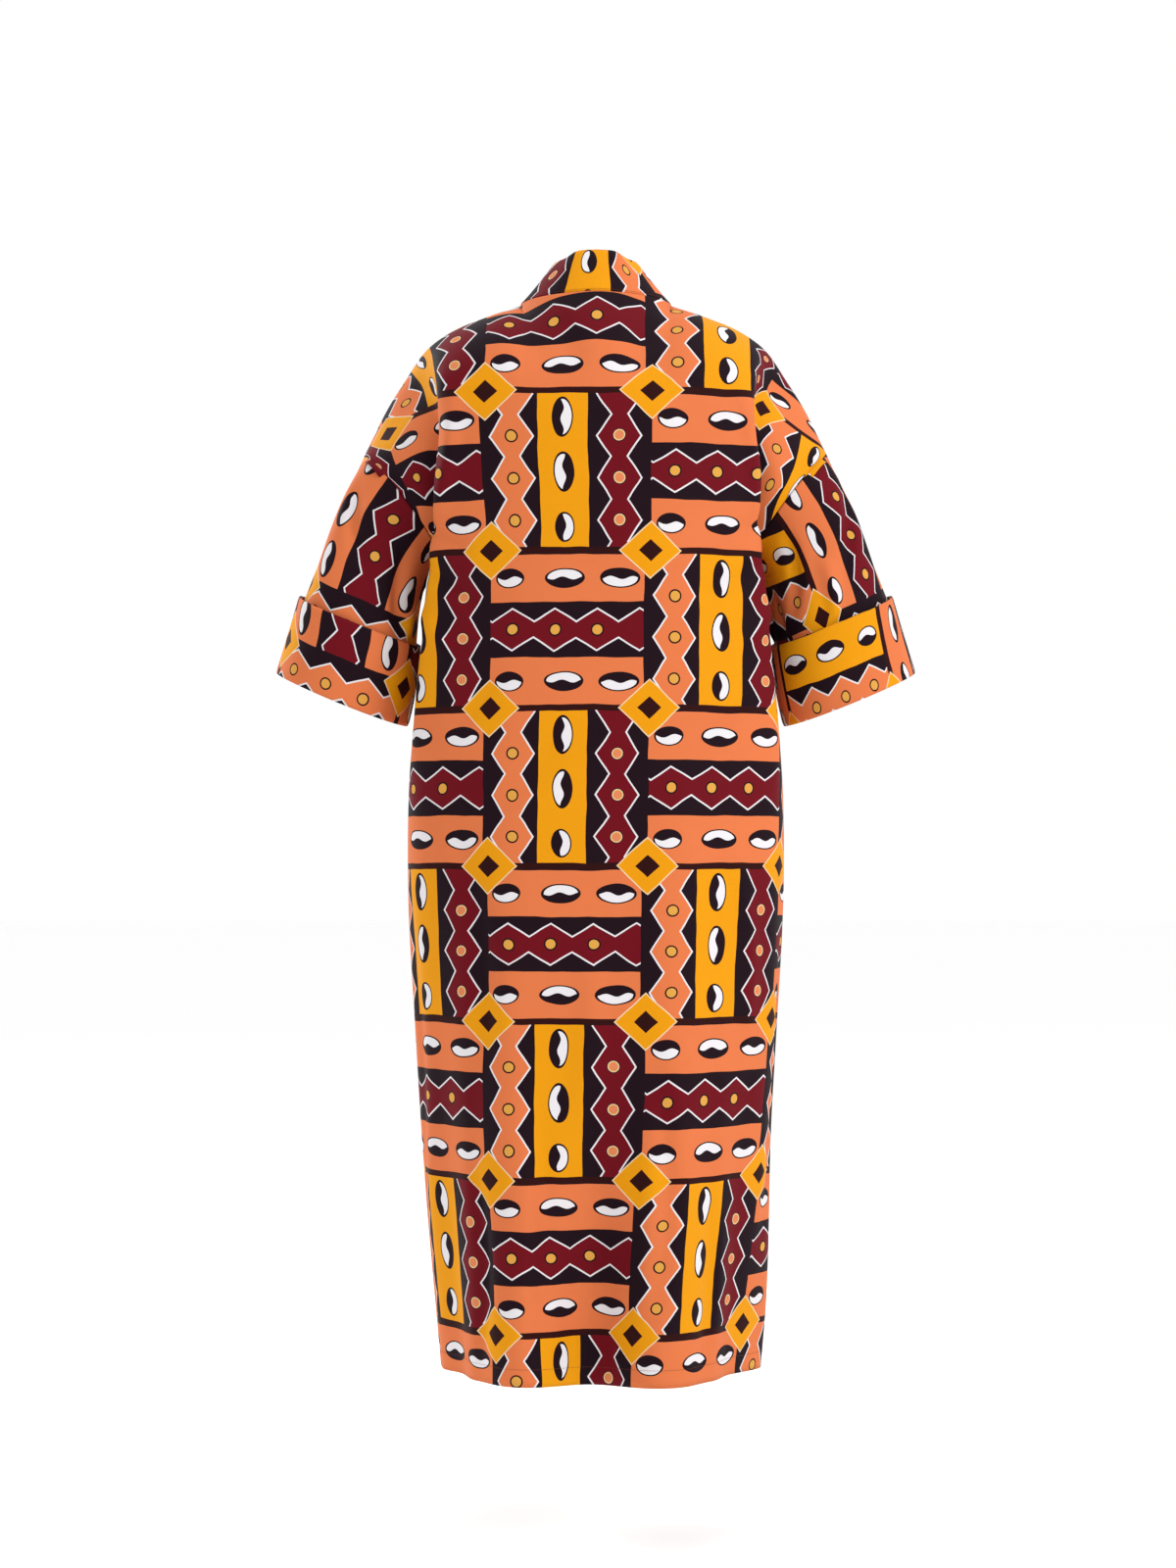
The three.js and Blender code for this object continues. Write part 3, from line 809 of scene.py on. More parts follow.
class ClothPiece:
    """What each sewn piece has: the solid that it stands for, its cut, its seams and its layer."""

    node: str
    cut: Cut
    seams: Seams = Seams()
    layer: Layer = Layer()
    rests_on: Sequence[str] = ()

    def build(self, sheet: Sheet, cotton: bpy.types.Material) -> None:
        """Args:
            sheet: its outer face, or its inner face where the layer grows out.
            cotton: its finish.
        """
        sewn = sheet.turned_in(self.seams)
        out = sewn.outwards()
        half = self.layer.profile(sewn, self.seams) / 2
        offset = self.layer.thickness / 2 if self.layer.grows_out else -self.layer.thickness / 2
        middle = sewn.rows + out * offset
        piece = shell_object(f"{self.node}_cloth", middle + out * half, middle - out * half, sewn)
        piece.data.materials.append(cotton)
        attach(piece, "root")
        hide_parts(self.node)
        log.info("%s: %d faces", piece.name, len(piece.data.polygons))


@dataclass
class BackPanel(ClothPiece):
    """The whole back, cut in one with its dropped shoulders."""

    form: WornForm
    node: str = "back_panel"
    cut: Cut = Cut(0.78, 1.37, 0.93)
    seams: Seams = Seams(top=True, left=True, right=True)
    print_column: float = 0.126  # where one column of blocks begins, left of the centre back
    print_heights: tuple[float, ...] = (-0.131, -0.326, -0.516, -0.706, -0.891, -1.080, -1.262)
    print_row: float = 0.187
    print_margin: float = 0.5  # how far the print runs on past the first and last of these heights
    neck_print: float = -0.128  # the neck seam, above the first whole row of blocks
    print_over: float = 0.67  # the print used up on the way over the shoulder, for its reach forwards
    print_fall: float = 0.95  # and for its fall
    drift: float = 0.014  # at the hem, where the cloth hangs a little off its grain
    drift_length: float = 1.2
    spread: float = 0.05  # how much wider the print lies over the shoulder blades
    spread_from: float = -0.068
    folds: tuple[Fold, ...] = (
        Fold(0.009, 0.092, -0.054, -0.860, -1.322),
        Fold(0.118, 0.060, 0.009, -0.480, -1.180),
        Fold(-0.104, 0.064, 0.011, -0.430, -1.120),
        Fold(0.236, 0.060, -0.012, -0.560, -1.200),
        Fold(-0.222, 0.056, -0.010, -0.620, -1.250),
        Fold(-0.316, 0.058, 0.013, -0.980, -1.280),
    )
    creases: tuple[Crease, ...] = creases_from(
        (245, 330, 128, 410, 13, -5.7),
        (235, 290, 150, 330, 10, -4.4),
        (252, 385, 175, 470, 12, 4.9),
        (-240, 320, -110, 385, 12, -5.2),
        (-250, 365, -160, 455, 11, 4.9),
        (-232, 275, -165, 300, 9, -3.9),
        (180, 120, 212, 300, 12, 5.5),
        (-176, 110, -206, 310, 12, 5.5),
        (226, 150, 236, 290, 10, -5.5),
        (-224, 160, -234, 280, 10, -5.5),
        (60, 20, 20, 120, 18, -2.9),
        (-70, 30, -30, 110, 16, -2.6),
        (40, 560, 150, 640, 16, -3.4),
        (-150, 540, -60, 600, 14, -3.1),
        (120, 480, 190, 540, 12, -3.4),
        (-190, 500, -120, 560, 12, -3.4),
        (190, 620, 140, 980, 16, -4.9),
        (-170, 660, -196, 980, 15, 4.4),
        (10, 780, 50, 1100, 18, 4.9),
        (-60, 900, -74, 1300, 14, -6.0),
        (78, 960, 92, 1310, 15, -5.5),
        (164, 1050, 176, 1315, 12, -5.2),
        (-150, 1080, -158, 1318, 13, -4.9),
        (280, 700, 296, 1150, 14, -4.9),
        (-270, 760, -262, 1200, 13, -4.4),
        (300, 420, 262, 540, 10, -4.4),
        (-300, 410, -258, 520, 11, -4.4),
    )

    @property
    def first_wall_row(self) -> int:
        """The row of the first section, where the cloth has turned down off the shoulder."""
        return self.form.yoke_rows * self.form.yoke_level // self.form.underarm_level

    def sheet(self) -> Sheet:
        """Lays the panel on the worn form, with its folds.

        Returns:
            The panel and its place in the print.
        """
        form = self.form
        half, _ = form.half()
        rows = np.concatenate([half[:, :0:-1] * (-1, 1, 1), half], axis=1)
        shares = np.concatenate([-form.back_shares[:0:-1], form.back_shares])
        rows = folded(rows, 1, self.folds, shares * form.back_half_width)
        middle = len(form.back_shares) - 1
        run = lengths_along(rows, 1)
        across = run - run[:, middle : middle + 1]
        down = self.print_down(rows)
        drift = self.drift * np.clip(down / self.drift_length, 0, 1)
        upright = self.upright(rows, across)
        wider = 1 - self.spread * ease((rows[..., 2] - self.print_heights[1]) / self.print_row)
        upright = self.spread_from + (upright - self.spread_from) * wider
        place = np.stack([self.print_column + drift - upright, down], axis=-1)
        return Sheet(rows, 1, False, across, -rows[..., 2], place)

    def upright(self, rows: Grid, across: np.ndarray) -> np.ndarray:
        """Across the print: above the first section its bands run on straight up.

        Args:
            rows: points of the panel.
            across: distances from the centre back.

        Returns:
            The distance across the print at each point.
        """
        wall = self.first_wall_row
        on_shoulder = across[wall] + rows[:wall, :, 0] - rows[wall, :, 0]
        return np.concatenate([on_shoulder, across[wall:]])

    def print_down(self, rows: Grid) -> np.ndarray:
        """Down the print: level rows on the wall, and from there up to the neck and shoulder.

        Args:
            rows: points of the panel, or of a front.

        Returns:
            The distance down the print at each point.
        """
        wall, heights, margin = self.first_wall_row, self.print_heights, self.print_margin
        known = np.array((heights[0] + margin, *heights, heights[-1] - margin))
        whole = np.arange(len(heights)) * self.print_row
        down = np.interp(-rows[..., 2], -known, (-margin, *whole, whole[-1] + margin))
        run = lengths_along(rows[: wall + 1], 0)
        over = (self.form.neck_back_reach - rows[0, :, 1]) * self.print_over
        top = self.neck_print - over - rows[0, :, 2] * self.print_fall
        down[: wall + 1] = top + (down[wall] - top) * run / run[-1]
        return down


@dataclass
class FrontPanel(ClothPiece):
    """One front, from the side seam to the band."""

    form: WornForm
    side: Side
    folds: tuple[Fold, ...]
    creases: tuple[Crease, ...]
    print_column: float  # at the band
    width: float = 0.240
    cut: Cut = Cut(0.31, 1.37, 0.33)
    seams: Seams = Seams(top=True, left=True, right=True)

    @property
    def node(self) -> str:
        """The solid's name."""
        return f"front_{self.side.word}"

    def sheet(self, back: BackPanel) -> Sheet:
        """Lays the panel on the worn form, with its folds.

        Args:
            back: the back, whose print runs on level.

        Returns:
            The panel and its place in the print.
        """
        turn = self.side.value
        _, half = self.form.half()
        rows = folded(half * self.side.flip, turn, self.folds, self.form.front_shares * self.width)
        across = lengths_along(rows, 1)
        column = self.print_column + turn * (across[:, -1:] - across)
        place = np.stack([column, back.print_down(rows)], axis=-1)
        return Sheet(rows, turn, False, across, -rows[..., 2], place)


FRONTS = {
    Side.LEFT: {
        "print_column": 0.062,
        "folds": (
            Fold(0.058, 0.040, -0.010, -0.460, -1.180),
            Fold(0.118, 0.044, 0.013, -0.330, -1.120),
            Fold(0.182, 0.040, -0.008, -0.420, -1.250),
        ),
        "creases": creases_from(
            (20, 330, 110, 240, 11, -6.4),
            (30, 380, 130, 330, 12, 5.5),
            (60, 180, 100, 300, 12, 5.5),
            (90, 560, 160, 680, 14, -4.7),
            (40, 700, 30, 1150, 12, -6.4),
            (150, 850, 154, 1290, 12, -6.8),
            (206, 600, 210, 1060, 12, 4.7),
        ),
    },
    Side.RIGHT: {
        "print_column": -0.052,
        "folds": (
            Fold(0.066, 0.044, -0.011, -0.400, -1.220),
            Fold(0.130, 0.042, 0.012, -0.360, -1.150),
            Fold(0.190, 0.036, -0.007, -0.500, -1.260),
        ),
        "creases": creases_from(
            (18, 320, 100, 225, 10, -6.1),
            (32, 395, 140, 350, 13, 5.7),
            (64, 170, 96, 310, 11, 5.1),
            (80, 600, 170, 700, 15, -4.4),
            (28, 760, 36, 1210, 12, -6.1),
            (160, 780, 168, 1280, 13, -6.4),
            (212, 640, 206, 1120, 12, 4.4),
        ),
    },
}


@dataclass(frozen=True)
class ArmPrint:
    """How a sleeve or cuff is cut from the print: blocks along the arm, then round it."""

    along: float  # at the sleeve's open end
    along_turn: int  # 1 where the print runs up the arm, -1 where it runs down
    round: float  # on the outer edge of the arm
    round_scale: float = 1.0

    def place(self, to_end: np.ndarray, round_arm: np.ndarray) -> np.ndarray:
        """Places in the print, for distances to the open end and round the arm to the back."""
        along = self.along + self.along_turn * to_end
        return np.stack([along, self.round - round_arm * self.round_scale], axis=-1)


def ring_sheet(rows: Grid, side: int, axis: np.ndarray, cut_from: ArmPrint) -> Sheet:
    """A ring of cloth round an arm, which opens flat at the underarm.

    Args:
        rows: its points, from the body to the open end.
        side: 1 or -1, whichever turns directions out of the cloth.
        axis: down the arm.
        cut_from: its place in the print.

    Returns:
        The ring as a sheet.
    """
    closed = np.concatenate([rows, rows[:, :1]], axis=1)
    down = lengths_along(closed, 0)
    spans = np.diff(closed, axis=1)
    square = spans - (spans @ axis)[..., None] * axis
    run = np.cumsum(np.linalg.norm(square, axis=-1), axis=1)
    run = np.concatenate([np.zeros((len(run), 1)), run], axis=1)
    top = rows.shape[1] // 2
    round_arm = run - run[:, top : top + 1]
    return Sheet(rows, side, True, round_arm, down, cut_from.place(down[-1:] - down, round_arm))


@dataclass
class Sleeve(ClothPiece):
    """One short wide sleeve, from the armhole seam to its open end."""

    form: WornForm
    side: Side
    creases: tuple[Crease, ...]
    cut_from: ArmPrint
    end: tuple[float, float, float] = (0.318, -0.024, -0.497)
    end_half_width: tuple[float, float, float] = (0.080, 0, 0.033)
    end_half_depth: tuple[float, float, float] = (0, 0.074, -0.008)
    runs_on: float = 0.55  # how much of the body's slope the top of the sleeve keeps
    swings_out: float = 0.180
    pull: float = 0.8  # how far that slope carries
    slope_columns: int = 6  # over how many of the body's columns its slope at the seam is taken
    steps_down: int = 70
    cut: Cut = Cut(0.52, 0.36, 0.15)
    seams: Seams = Seams(top=True)

    @property
    def node(self) -> str:
        """The solid's name."""
        return f"sleeve_{self.side.word}"

    @property
    def arm_axis(self) -> np.ndarray:
        """Down the arm, square to the open end."""
        return unit(np.cross(self.end_half_depth, self.end_half_width)) * self.side.flip

    def armhole(self, back: Sheet, front: Sheet) -> tuple[np.ndarray, np.ndarray]:
        """The armhole seam, from the underarm up the front and down the back.

        Args:
            back: the back.
            front: this side's front.

        Returns:
            Points on the seam, and points on the body's cloth beside it.
        """
        near = self.slope_columns
        seam, beside = (-1, -1 - near) if self.side is Side.LEFT else (0, near)
        count = self.form.yoke_rows
        up, down = front.rows[1 : count + 1][::-1], back.rows[:count]
        ring = np.concatenate([up[:, 0], down[:, seam]])
        return ring, np.concatenate([up[:, near], down[:, beside]])

    def sheet(self, back: Sheet, front: Sheet) -> Sheet:
        """Lays the sleeve from the armhole to its end. It leaves the body in the slope of its cloth.

        Args:
            back: the back.
            front: this side's front.

        Returns:
            The sleeve and its place in the print.
        """
        turn, flip = self.side.value, self.side.flip
        ring, beside = self.armhole(back, front)
        end = np.array(self.end) * flip
        along = end - ring.mean(axis=0)
        angle = (2 * math.pi * np.arange(len(ring)) / len(ring) - math.pi)[:, None]
        on_top = (1 + np.cos(angle)) / 2
        oval = np.cos(angle) * self.end_half_width + np.sin(angle) * self.end_half_depth
        finish = end + oval * flip
        reach = np.linalg.norm(finish - ring, axis=1, keepdims=True)
        run_on = unit(ring - beside) * np.linalg.norm(along)
        leave = along + (run_on - along) * on_top * self.runs_on
        leave[:, 0] += turn * (1 - on_top[:, 0]) * self.swings_out
        leave = unit(leave) * reach * self.pull
        arrive = unit(along) * reach
        t = steps(self.steps_down)[:, None, None]
        rows = (
            ring * (2 * t**3 - 3 * t**2 + 1)
            + leave * (t**3 - 2 * t**2 + t)
            + finish * (-2 * t**3 + 3 * t**2)
            + arrive * (t**3 - t**2)
        )
        return ring_sheet(rows, -turn, self.arm_axis, self.cut_from)


SLEEVES = {
    Side.LEFT: {
        "cut_from": ArmPrint(0.317, -1, 0.026),
        "creases": creases_from(
            (50, 20, 120, 120, 12, -6.4),
            (150, 30, 190, 150, 11, -6.8),
            (90, 10, 95, 90, 9, 4.7),
            (200, 60, 205, 190, 10, 5.5),
            (-190, 30, -150, 140, 12, -6.4),
            (-80, 20, -100, 120, 11, -5.7),
            (-230, 40, -226, 150, 10, -6.4),
        ),
    },
    Side.RIGHT: {
        "cut_from": ArmPrint(-0.114, 1, 0.364, 1.3),
        "creases": creases_from(
            (40, 30, 100, 140, 11, -6.1),
            (140, 20, 175, 120, 10, -6.8),
            (112, 80, 130, 200, 10, 5.1),
            (205, 50, 212, 170, 11, -5.7),
            (-200, 20, -160, 130, 12, -6.4),
            (-70, 30, -90, 150, 11, -5.5),
            (-235, 30, -232, 140, 10, 5.7),
        ),
    },
}


@dataclass
class Cuff(ClothPiece):
    """The deep cuff: the sleeve's end turned back over it, standing off a little at its free edge."""

    sleeve: Sleeve
    cut_from: ArmPrint
    depth: float = 0.100
    flare: float = 0.005
    lay_gap: float = 0.0007
    steps_down: int = 24
    cut: Cut = Cut(0.53, 0.10, 0.053)
    layer: Layer = Layer(0.0022, is_folded=True, grows_out=True)

    @property
    def node(self) -> str:
        """The solid's name."""
        return f"cuff_{self.sleeve.side.word}"

    @property
    def rests_on(self) -> tuple[str]:
        """The sleeve's solid."""
        return (self.sleeve.node,)

    def sheet(self, sleeve: Sheet) -> Sheet:
        """Lays the cuff's inner face: the sleeve's own points, moved out.

        Args:
            sleeve: the sleeve, without its creases.

        Returns:
            The cuff and its place in the print.
        """
        from_end = sleeve.rows[::-1]
        t = steps(self.steps_down)
        distances = self.depth * (1 - t)
        columns = [points_at(from_end[:, k], distances) for k in range(from_end.shape[1])]
        rows = np.stack(columns, axis=1)
        stand_off = self.lay_gap + self.flare * (1 - t) ** 2
        rows = rows + outward_directions(rows, sleeve.side, True) * stand_off[:, None, None]
        return ring_sheet(rows, sleeve.side, self.sleeve.arm_axis, self.cut_from)


CUFF_PRINTS = {Side.LEFT: ArmPrint(0.240, -1, 0.025), Side.RIGHT: ArmPrint(0.020, 1, 0.282, 1.3)}


@dataclass
class CollarBand(ClothPiece):
    """The band: one long strip that stands at the back of the neck and falls down both fronts."""

    form: WornForm
    node: str = "collar_band"
    stations: tuple[float, ...] = (0, 0.6, 1, 1.6, 2.4, 3.4, 5, 7, 12)  # round the neck, then levels
    leans: tuple[tuple[float, float, float], ...] = (
        (0, -0.40, 0.92),
        (-0.52, -0.22, 0.82),
        (-0.70, 0.04, 0.70),
        (-0.76, 0.24, 0.60),
        (-0.86, 0.12, 0.50),
        (-0.96, -0.06, 0.28),
        (-1, -0.10, 0.04),
        (-1, -0.08, 0),
        (-1, -0.08, 0),
    )  # from its seam to its free edge, at the stations
    print_middle: float = 0.455 * 0.194 - 0.008  # a cowrie band stands at the centre back
    print_down: float = 0.118
    steps_across: int = 12
    cut: Cut = Cut(3.05, 0.06, 0.18)
    seams: Seams = Seams(top=True)
    layer: Layer = Layer(0.0022, is_folded=True)

    def leans_at(self, stations: np.ndarray) -> np.ndarray:
        """The direction from seam to free edge.

        Args:
            stations: where along the seam it is asked for.

        Returns:
            A direction for each station.
        """
        known, leans = np.array(self.stations), np.array(self.leans)
        after = np.clip(np.searchsorted(known, stations), 1, len(known) - 1)
        share = ease((stations - known[after - 1]) / (known[after] - known[after - 1]))[:, None]
        return unit(leans[after - 1] * (1 - share) + leans[after] * share)

    def half(self, back: Sheet, front: Sheet, side: Side) -> tuple[np.ndarray, np.ndarray]:
        """Half of its seam, from the centre back to the hem.

        Args:
            back: the back.
            front: this side's front.
            side: the side.

        Returns:
            Points on the seam, and their directions to the free edge.
        """
        middle, count = back.rows.shape[1] // 2, self.form.neck_columns
        neck = back.rows[0, [middle + side.value * j for j in range(count + 1)]]
        stations = np.concatenate([steps(count), 1 + self.form.row_levels[1:]])
        leans = self.leans_at(stations) * side.flip
        return np.concatenate([neck, front.rows[1:, -1]]), leans

    def sheet(self, back: Sheet, fronts: dict[Side, Sheet]) -> Sheet:
        """Lays the band: a row along its seam, then rows out to its free edge.

        Args:
            back: the back.
            fronts: the fronts.

        Returns:
            The band and its place in the print.
        """
        left, left_leans = self.half(back, fronts[Side.LEFT], Side.LEFT)
        right, right_leans = self.half(back, fronts[Side.RIGHT], Side.RIGHT)
        line = np.concatenate([right[:0:-1], left])
        leans = np.concatenate([right_leans[:0:-1], left_leans])
        width = self.form.band_width
        t = steps(self.steps_across)[:, None]
        rows = line + leans * width * t[..., None]
        run = lengths_along(line)
        across = np.tile(run - run[len(right) - 1], (len(t), 1))
        down = np.tile(width * t, (1, len(line)))
        place = np.stack([self.print_middle + across, self.print_down + down], axis=-1)
        return Sheet(rows, -1, False, across, down, place)


# Sewing

@dataclass(frozen=True)
class Stitching:
    """Rows of machine stitches, laid along lines on the cloth."""

    spacing: float = 0.0031
    length: float = 0.0025
    radius: float = 0.00024
    stands_off: float = 0.4  # how far a stitch's middle lies off the cloth, as a share of its radius
    hem_depth: float = 0.021
    seam_distance: float = 0.0022
    bead_segments: int = 6
    bead_rings: int = 4

    def tree(self, thread: bpy.types.Material) -> bpy.types.NodeTree:
        """Makes the geometry nodes that lay one stitch after another along a curve.

        Args:
            thread: the stitches' finish.

        Returns:
            The node tree, with the stitch's sizes as its inputs.
        """
        group = bpy.data.node_groups.new("Stitches", "GeometryNodeTree")
        face = group.interface
        face.new_socket("Geometry", in_out="INPUT", socket_type="NodeSocketGeometry")
        for label, value in (("Spacing", self.spacing), ("Length", self.length), ("Radius", self.radius)):
            socket = face.new_socket(label, in_out="INPUT", socket_type="NodeSocketFloat")
            socket.default_value = value
        face.new_socket("Geometry", in_out="OUTPUT", socket_type="NodeSocketGeometry")
        source = add_node(group, "NodeGroupInput").outputs
        points = {"Curve": source["Geometry"], "Length": source["Spacing"]}
        resample = add_node(group, "GeometryNodeResampleCurve", points, mode="LENGTH")
        tangent = add_node(group, "GeometryNodeInputTangent")
        along = {"Vector": tangent.outputs[0]}
        align = add_node(group, "FunctionNodeAlignRotationToVector", along, axis="Z")
        sphere = {"Segments": self.bead_segments, "Rings": self.bead_rings, "Radius": 1.0}
        bead = add_node(group, "GeometryNodeMeshUVSphere", sphere)
        half = add_node(group, "ShaderNodeMath", {0: source["Length"], 1: 2.0}, operation="DIVIDE")
        sizes = {0: source["Radius"], 1: source["Radius"], 2: half.outputs[0]}
        size = add_node(group, "ShaderNodeCombineXYZ", sizes)
        stitches = {
            "Points": resample.outputs[0],
            "Instance": bead.outputs["Mesh"],
            "Rotation": align.outputs[0],
            "Scale": size.outputs[0],
        }
        instances = add_node(group, "GeometryNodeInstanceOnPoints", stitches)
        realize = add_node(group, "GeometryNodeRealizeInstances", {0: instances.outputs[0]})
        finish = {"Geometry": realize.outputs[0], "Material": thread}
        paint = add_node(group, "GeometryNodeSetMaterial", finish)
        add_node(group, "NodeGroupOutput", {0: paint.outputs[0]})
        return group

    def sew(self, name: str, line: np.ndarray, tree: bpy.types.NodeTree) -> None:
        """Lays stitches along a line and turns them into a mesh.

        Args:
            name: the row's.
            line: points on the cloth.
            tree: the stitches' geometry nodes.
        """
        curve = bpy.data.curves.new(name, "CURVE")
        curve.dimensions = "3D"
        spline = curve.splines.new("POLY")
        spline.points.add(len(line) - 1)
        spline.points.foreach_set("co", np.column_stack([line, np.ones(len(line))]).ravel())
        guide = new_object(f"{name}_guide", curve)
        guide.modifiers.new("Stitches", "NODES").node_group = tree
        evaluated = guide.evaluated_get(bpy.context.evaluated_depsgraph_get())
        mesh = bpy.data.meshes.new_from_object(evaluated)
        bpy.data.objects.remove(guide, do_unlink=True)
        mesh.polygons.foreach_set("use_smooth", [True] * len(mesh.polygons))
        stitches = new_object(name, mesh)
        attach(stitches, "root")
        log.info("%s: %d faces", name, len(mesh.polygons))

    def above_hem(self, sheet: Sheet) -> np.ndarray:
        """A line on the cloth's outer face, a hem's depth above its lower edge.

        Args:
            sheet: the cloth.

        Returns:
            The line's points.
        """
        up = sheet.rows[::-1]
        depth = np.array([self.hem_depth])
        line = np.stack([points_at(up[:, j], depth)[0] for j in range(up.shape[1])])
        near = int(np.argmin(np.abs(lengths_along(up)[:, 0] - self.hem_depth)))
        return self._on_cloth(line, sheet.outwards()[-1 - near])

    def beside_seam(self, sheet: Sheet) -> np.ndarray:
        """A line on the band's outer face, close to its seam.

        Args:
            sheet: the band.

        Returns:
            The line's points.
        """
        width = lengths_along(sheet.rows)[-1, 0]
        share = self.seam_distance / width
        line = sheet.rows[0] * (1 - share) + sheet.rows[-1] * share
        return self._on_cloth(line, sheet.outwards()[1])

    def _on_cloth(self, line: np.ndarray, outwards: np.ndarray, inset: float = 0.002) -> np.ndarray:
        """A line for the middles of the stitches, which stops short of the edges.

        Args:
            line: points on the cloth's face.
            outwards: directions out of the cloth at these points.
            inset: how far short.

        Returns:
            The line's points.
        """
        raised = line + outwards * self.radius * self.stands_off
        run = lengths_along(raised)
        return raised[(run > inset) & (run < run[-1] - inset)]


# The print

def arithmetic(operation: str) -> Callable[..., "Term"]:
    """Makes a method of Term.

    Args:
        operation: what a Math node does.

    Returns:
        The method. It takes as many other terms or numbers as the operation needs.
    """

    def result(self: "Term", *others: "Term | float") -> "Term":
        """Adds the Math node.

        Args:
            others: the node's other inputs.

        Returns:
            The node's output.
        """
        values = [value.socket if isinstance(value, Term) else value for value in (self, *others)]
        node = add_node(self.tree, "ShaderNodeMath", dict(enumerate(values)), operation=operation)
        return Term(self.tree, node.outputs[0])

    return result


@dataclass(frozen=True)
class Term:
    """A number that changes over the cloth, as a node's output. Arithmetic adds nodes."""

    tree: bpy.types.NodeTree
    socket: bpy.types.NodeSocket

    __add__ = arithmetic("ADD")
    __sub__ = arithmetic("SUBTRACT")
    __mul__ = arithmetic("MULTIPLY")
    __truediv__ = arithmetic("DIVIDE")
    __lt__ = arithmetic("LESS_THAN")
    __gt__ = arithmetic("GREATER_THAN")
    __abs__ = arithmetic("ABSOLUTE")
    floor = arithmetic("FLOOR")  # the whole number below
    round = arithmetic("ROUND")  # the nearest whole number
    fraction = arithmetic("FRACT")  # what is left above the whole number below
    remainder = arithmetic("FLOORED_MODULO")
    sine = arithmetic("SINE")  # of radians
    root = arithmetic("SQRT")
    at_least = arithmetic("MAXIMUM")  # the larger of two
    at_most = arithmetic("MINIMUM")  # the smaller of two

    def without(self) -> "Term":
        """1 where this is 0, and 0 where it is 1."""
        return self * -1 + 1

    def pick(self, where_one: "Term | float", where_zero: "Term | float") -> "Term":
        """One of two values, by this mask."""
        return self.without() * where_zero + self * where_one

    def hypotenuse(self, other: "Term") -> "Term":
        """Length of the vector that the two make."""
        return (self * self + other * other).root()


def from_srgb(red: int, green: int, blue: int) -> tuple[float, float, float]:
    """Linear values of a colour that a screen shows as 0 to 255."""
    shown = (red / 255, green / 255, blue / 255)
    return tuple(v / 12.92 if v <= 0.04045 else ((v + 0.055) / 1.055) ** 2.4 for v in shown)


BRIGHTNESS = 1.50  # how much brighter the studio shows the cloth than its own colour
VEIL = 0.008  # what the cloth's gloss adds to every colour
DARKEST = 0.003  # no ink is darker than this, before the brightness is taken off it


def seen_as(red: int, green: int, blue: int) -> Colour:
    """The cloth's own colour, for one that should look like this in the studio's light."""
    own = (max(value - VEIL, DARKEST) / BRIGHTNESS for value in from_srgb(red, green, blue))
    return (*own, 1.0)


class Ink(Enum):
    """Colours of the print."""

    ORANGE = seen_as(234, 127, 78)
    YELLOW = seen_as(243, 161, 8)
    BURGUNDY = seen_as(116, 22, 36)
    DARK = seen_as(39, 25, 33)
    BROWN = seen_as(54, 26, 23)
    WHITE = seen_as(242, 238, 241)
    CREAM = seen_as(246, 216, 176)
    GOLD = seen_as(231, 168, 78)
    APRICOT = seen_as(232, 140, 96)


@dataclass
class Chart:
    """Paints inks on the cloth, one motif over the other."""

    tree: bpy.types.NodeTree
    ground: Ink

    def __post_init__(self) -> None:
        """Starts with the ground all over."""
        self.colour = add_node(self.tree, "ShaderNodeRGB").outputs[0]
        self.colour.default_value = self.ground.value

    def paint(self, mask: Term, ink: Ink) -> None:
        """Covers what lies under the mask."""
        inputs = {"Factor": mask.socket, 6: self.colour, 7: ink.value}
        self.colour = add_node(self.tree, "ShaderNodeMix", inputs, data_type="RGBA").outputs[2]


@dataclass(frozen=True)
class Spot:
    """Where a point lies in its block, in shares of the block."""

    along: Term  # with the bands
    over: Term  # across the bands
    upright: Term  # 1 in an upright block, 0 in a lying one
    inside: Term  # 0 past the end of a lying block's bands


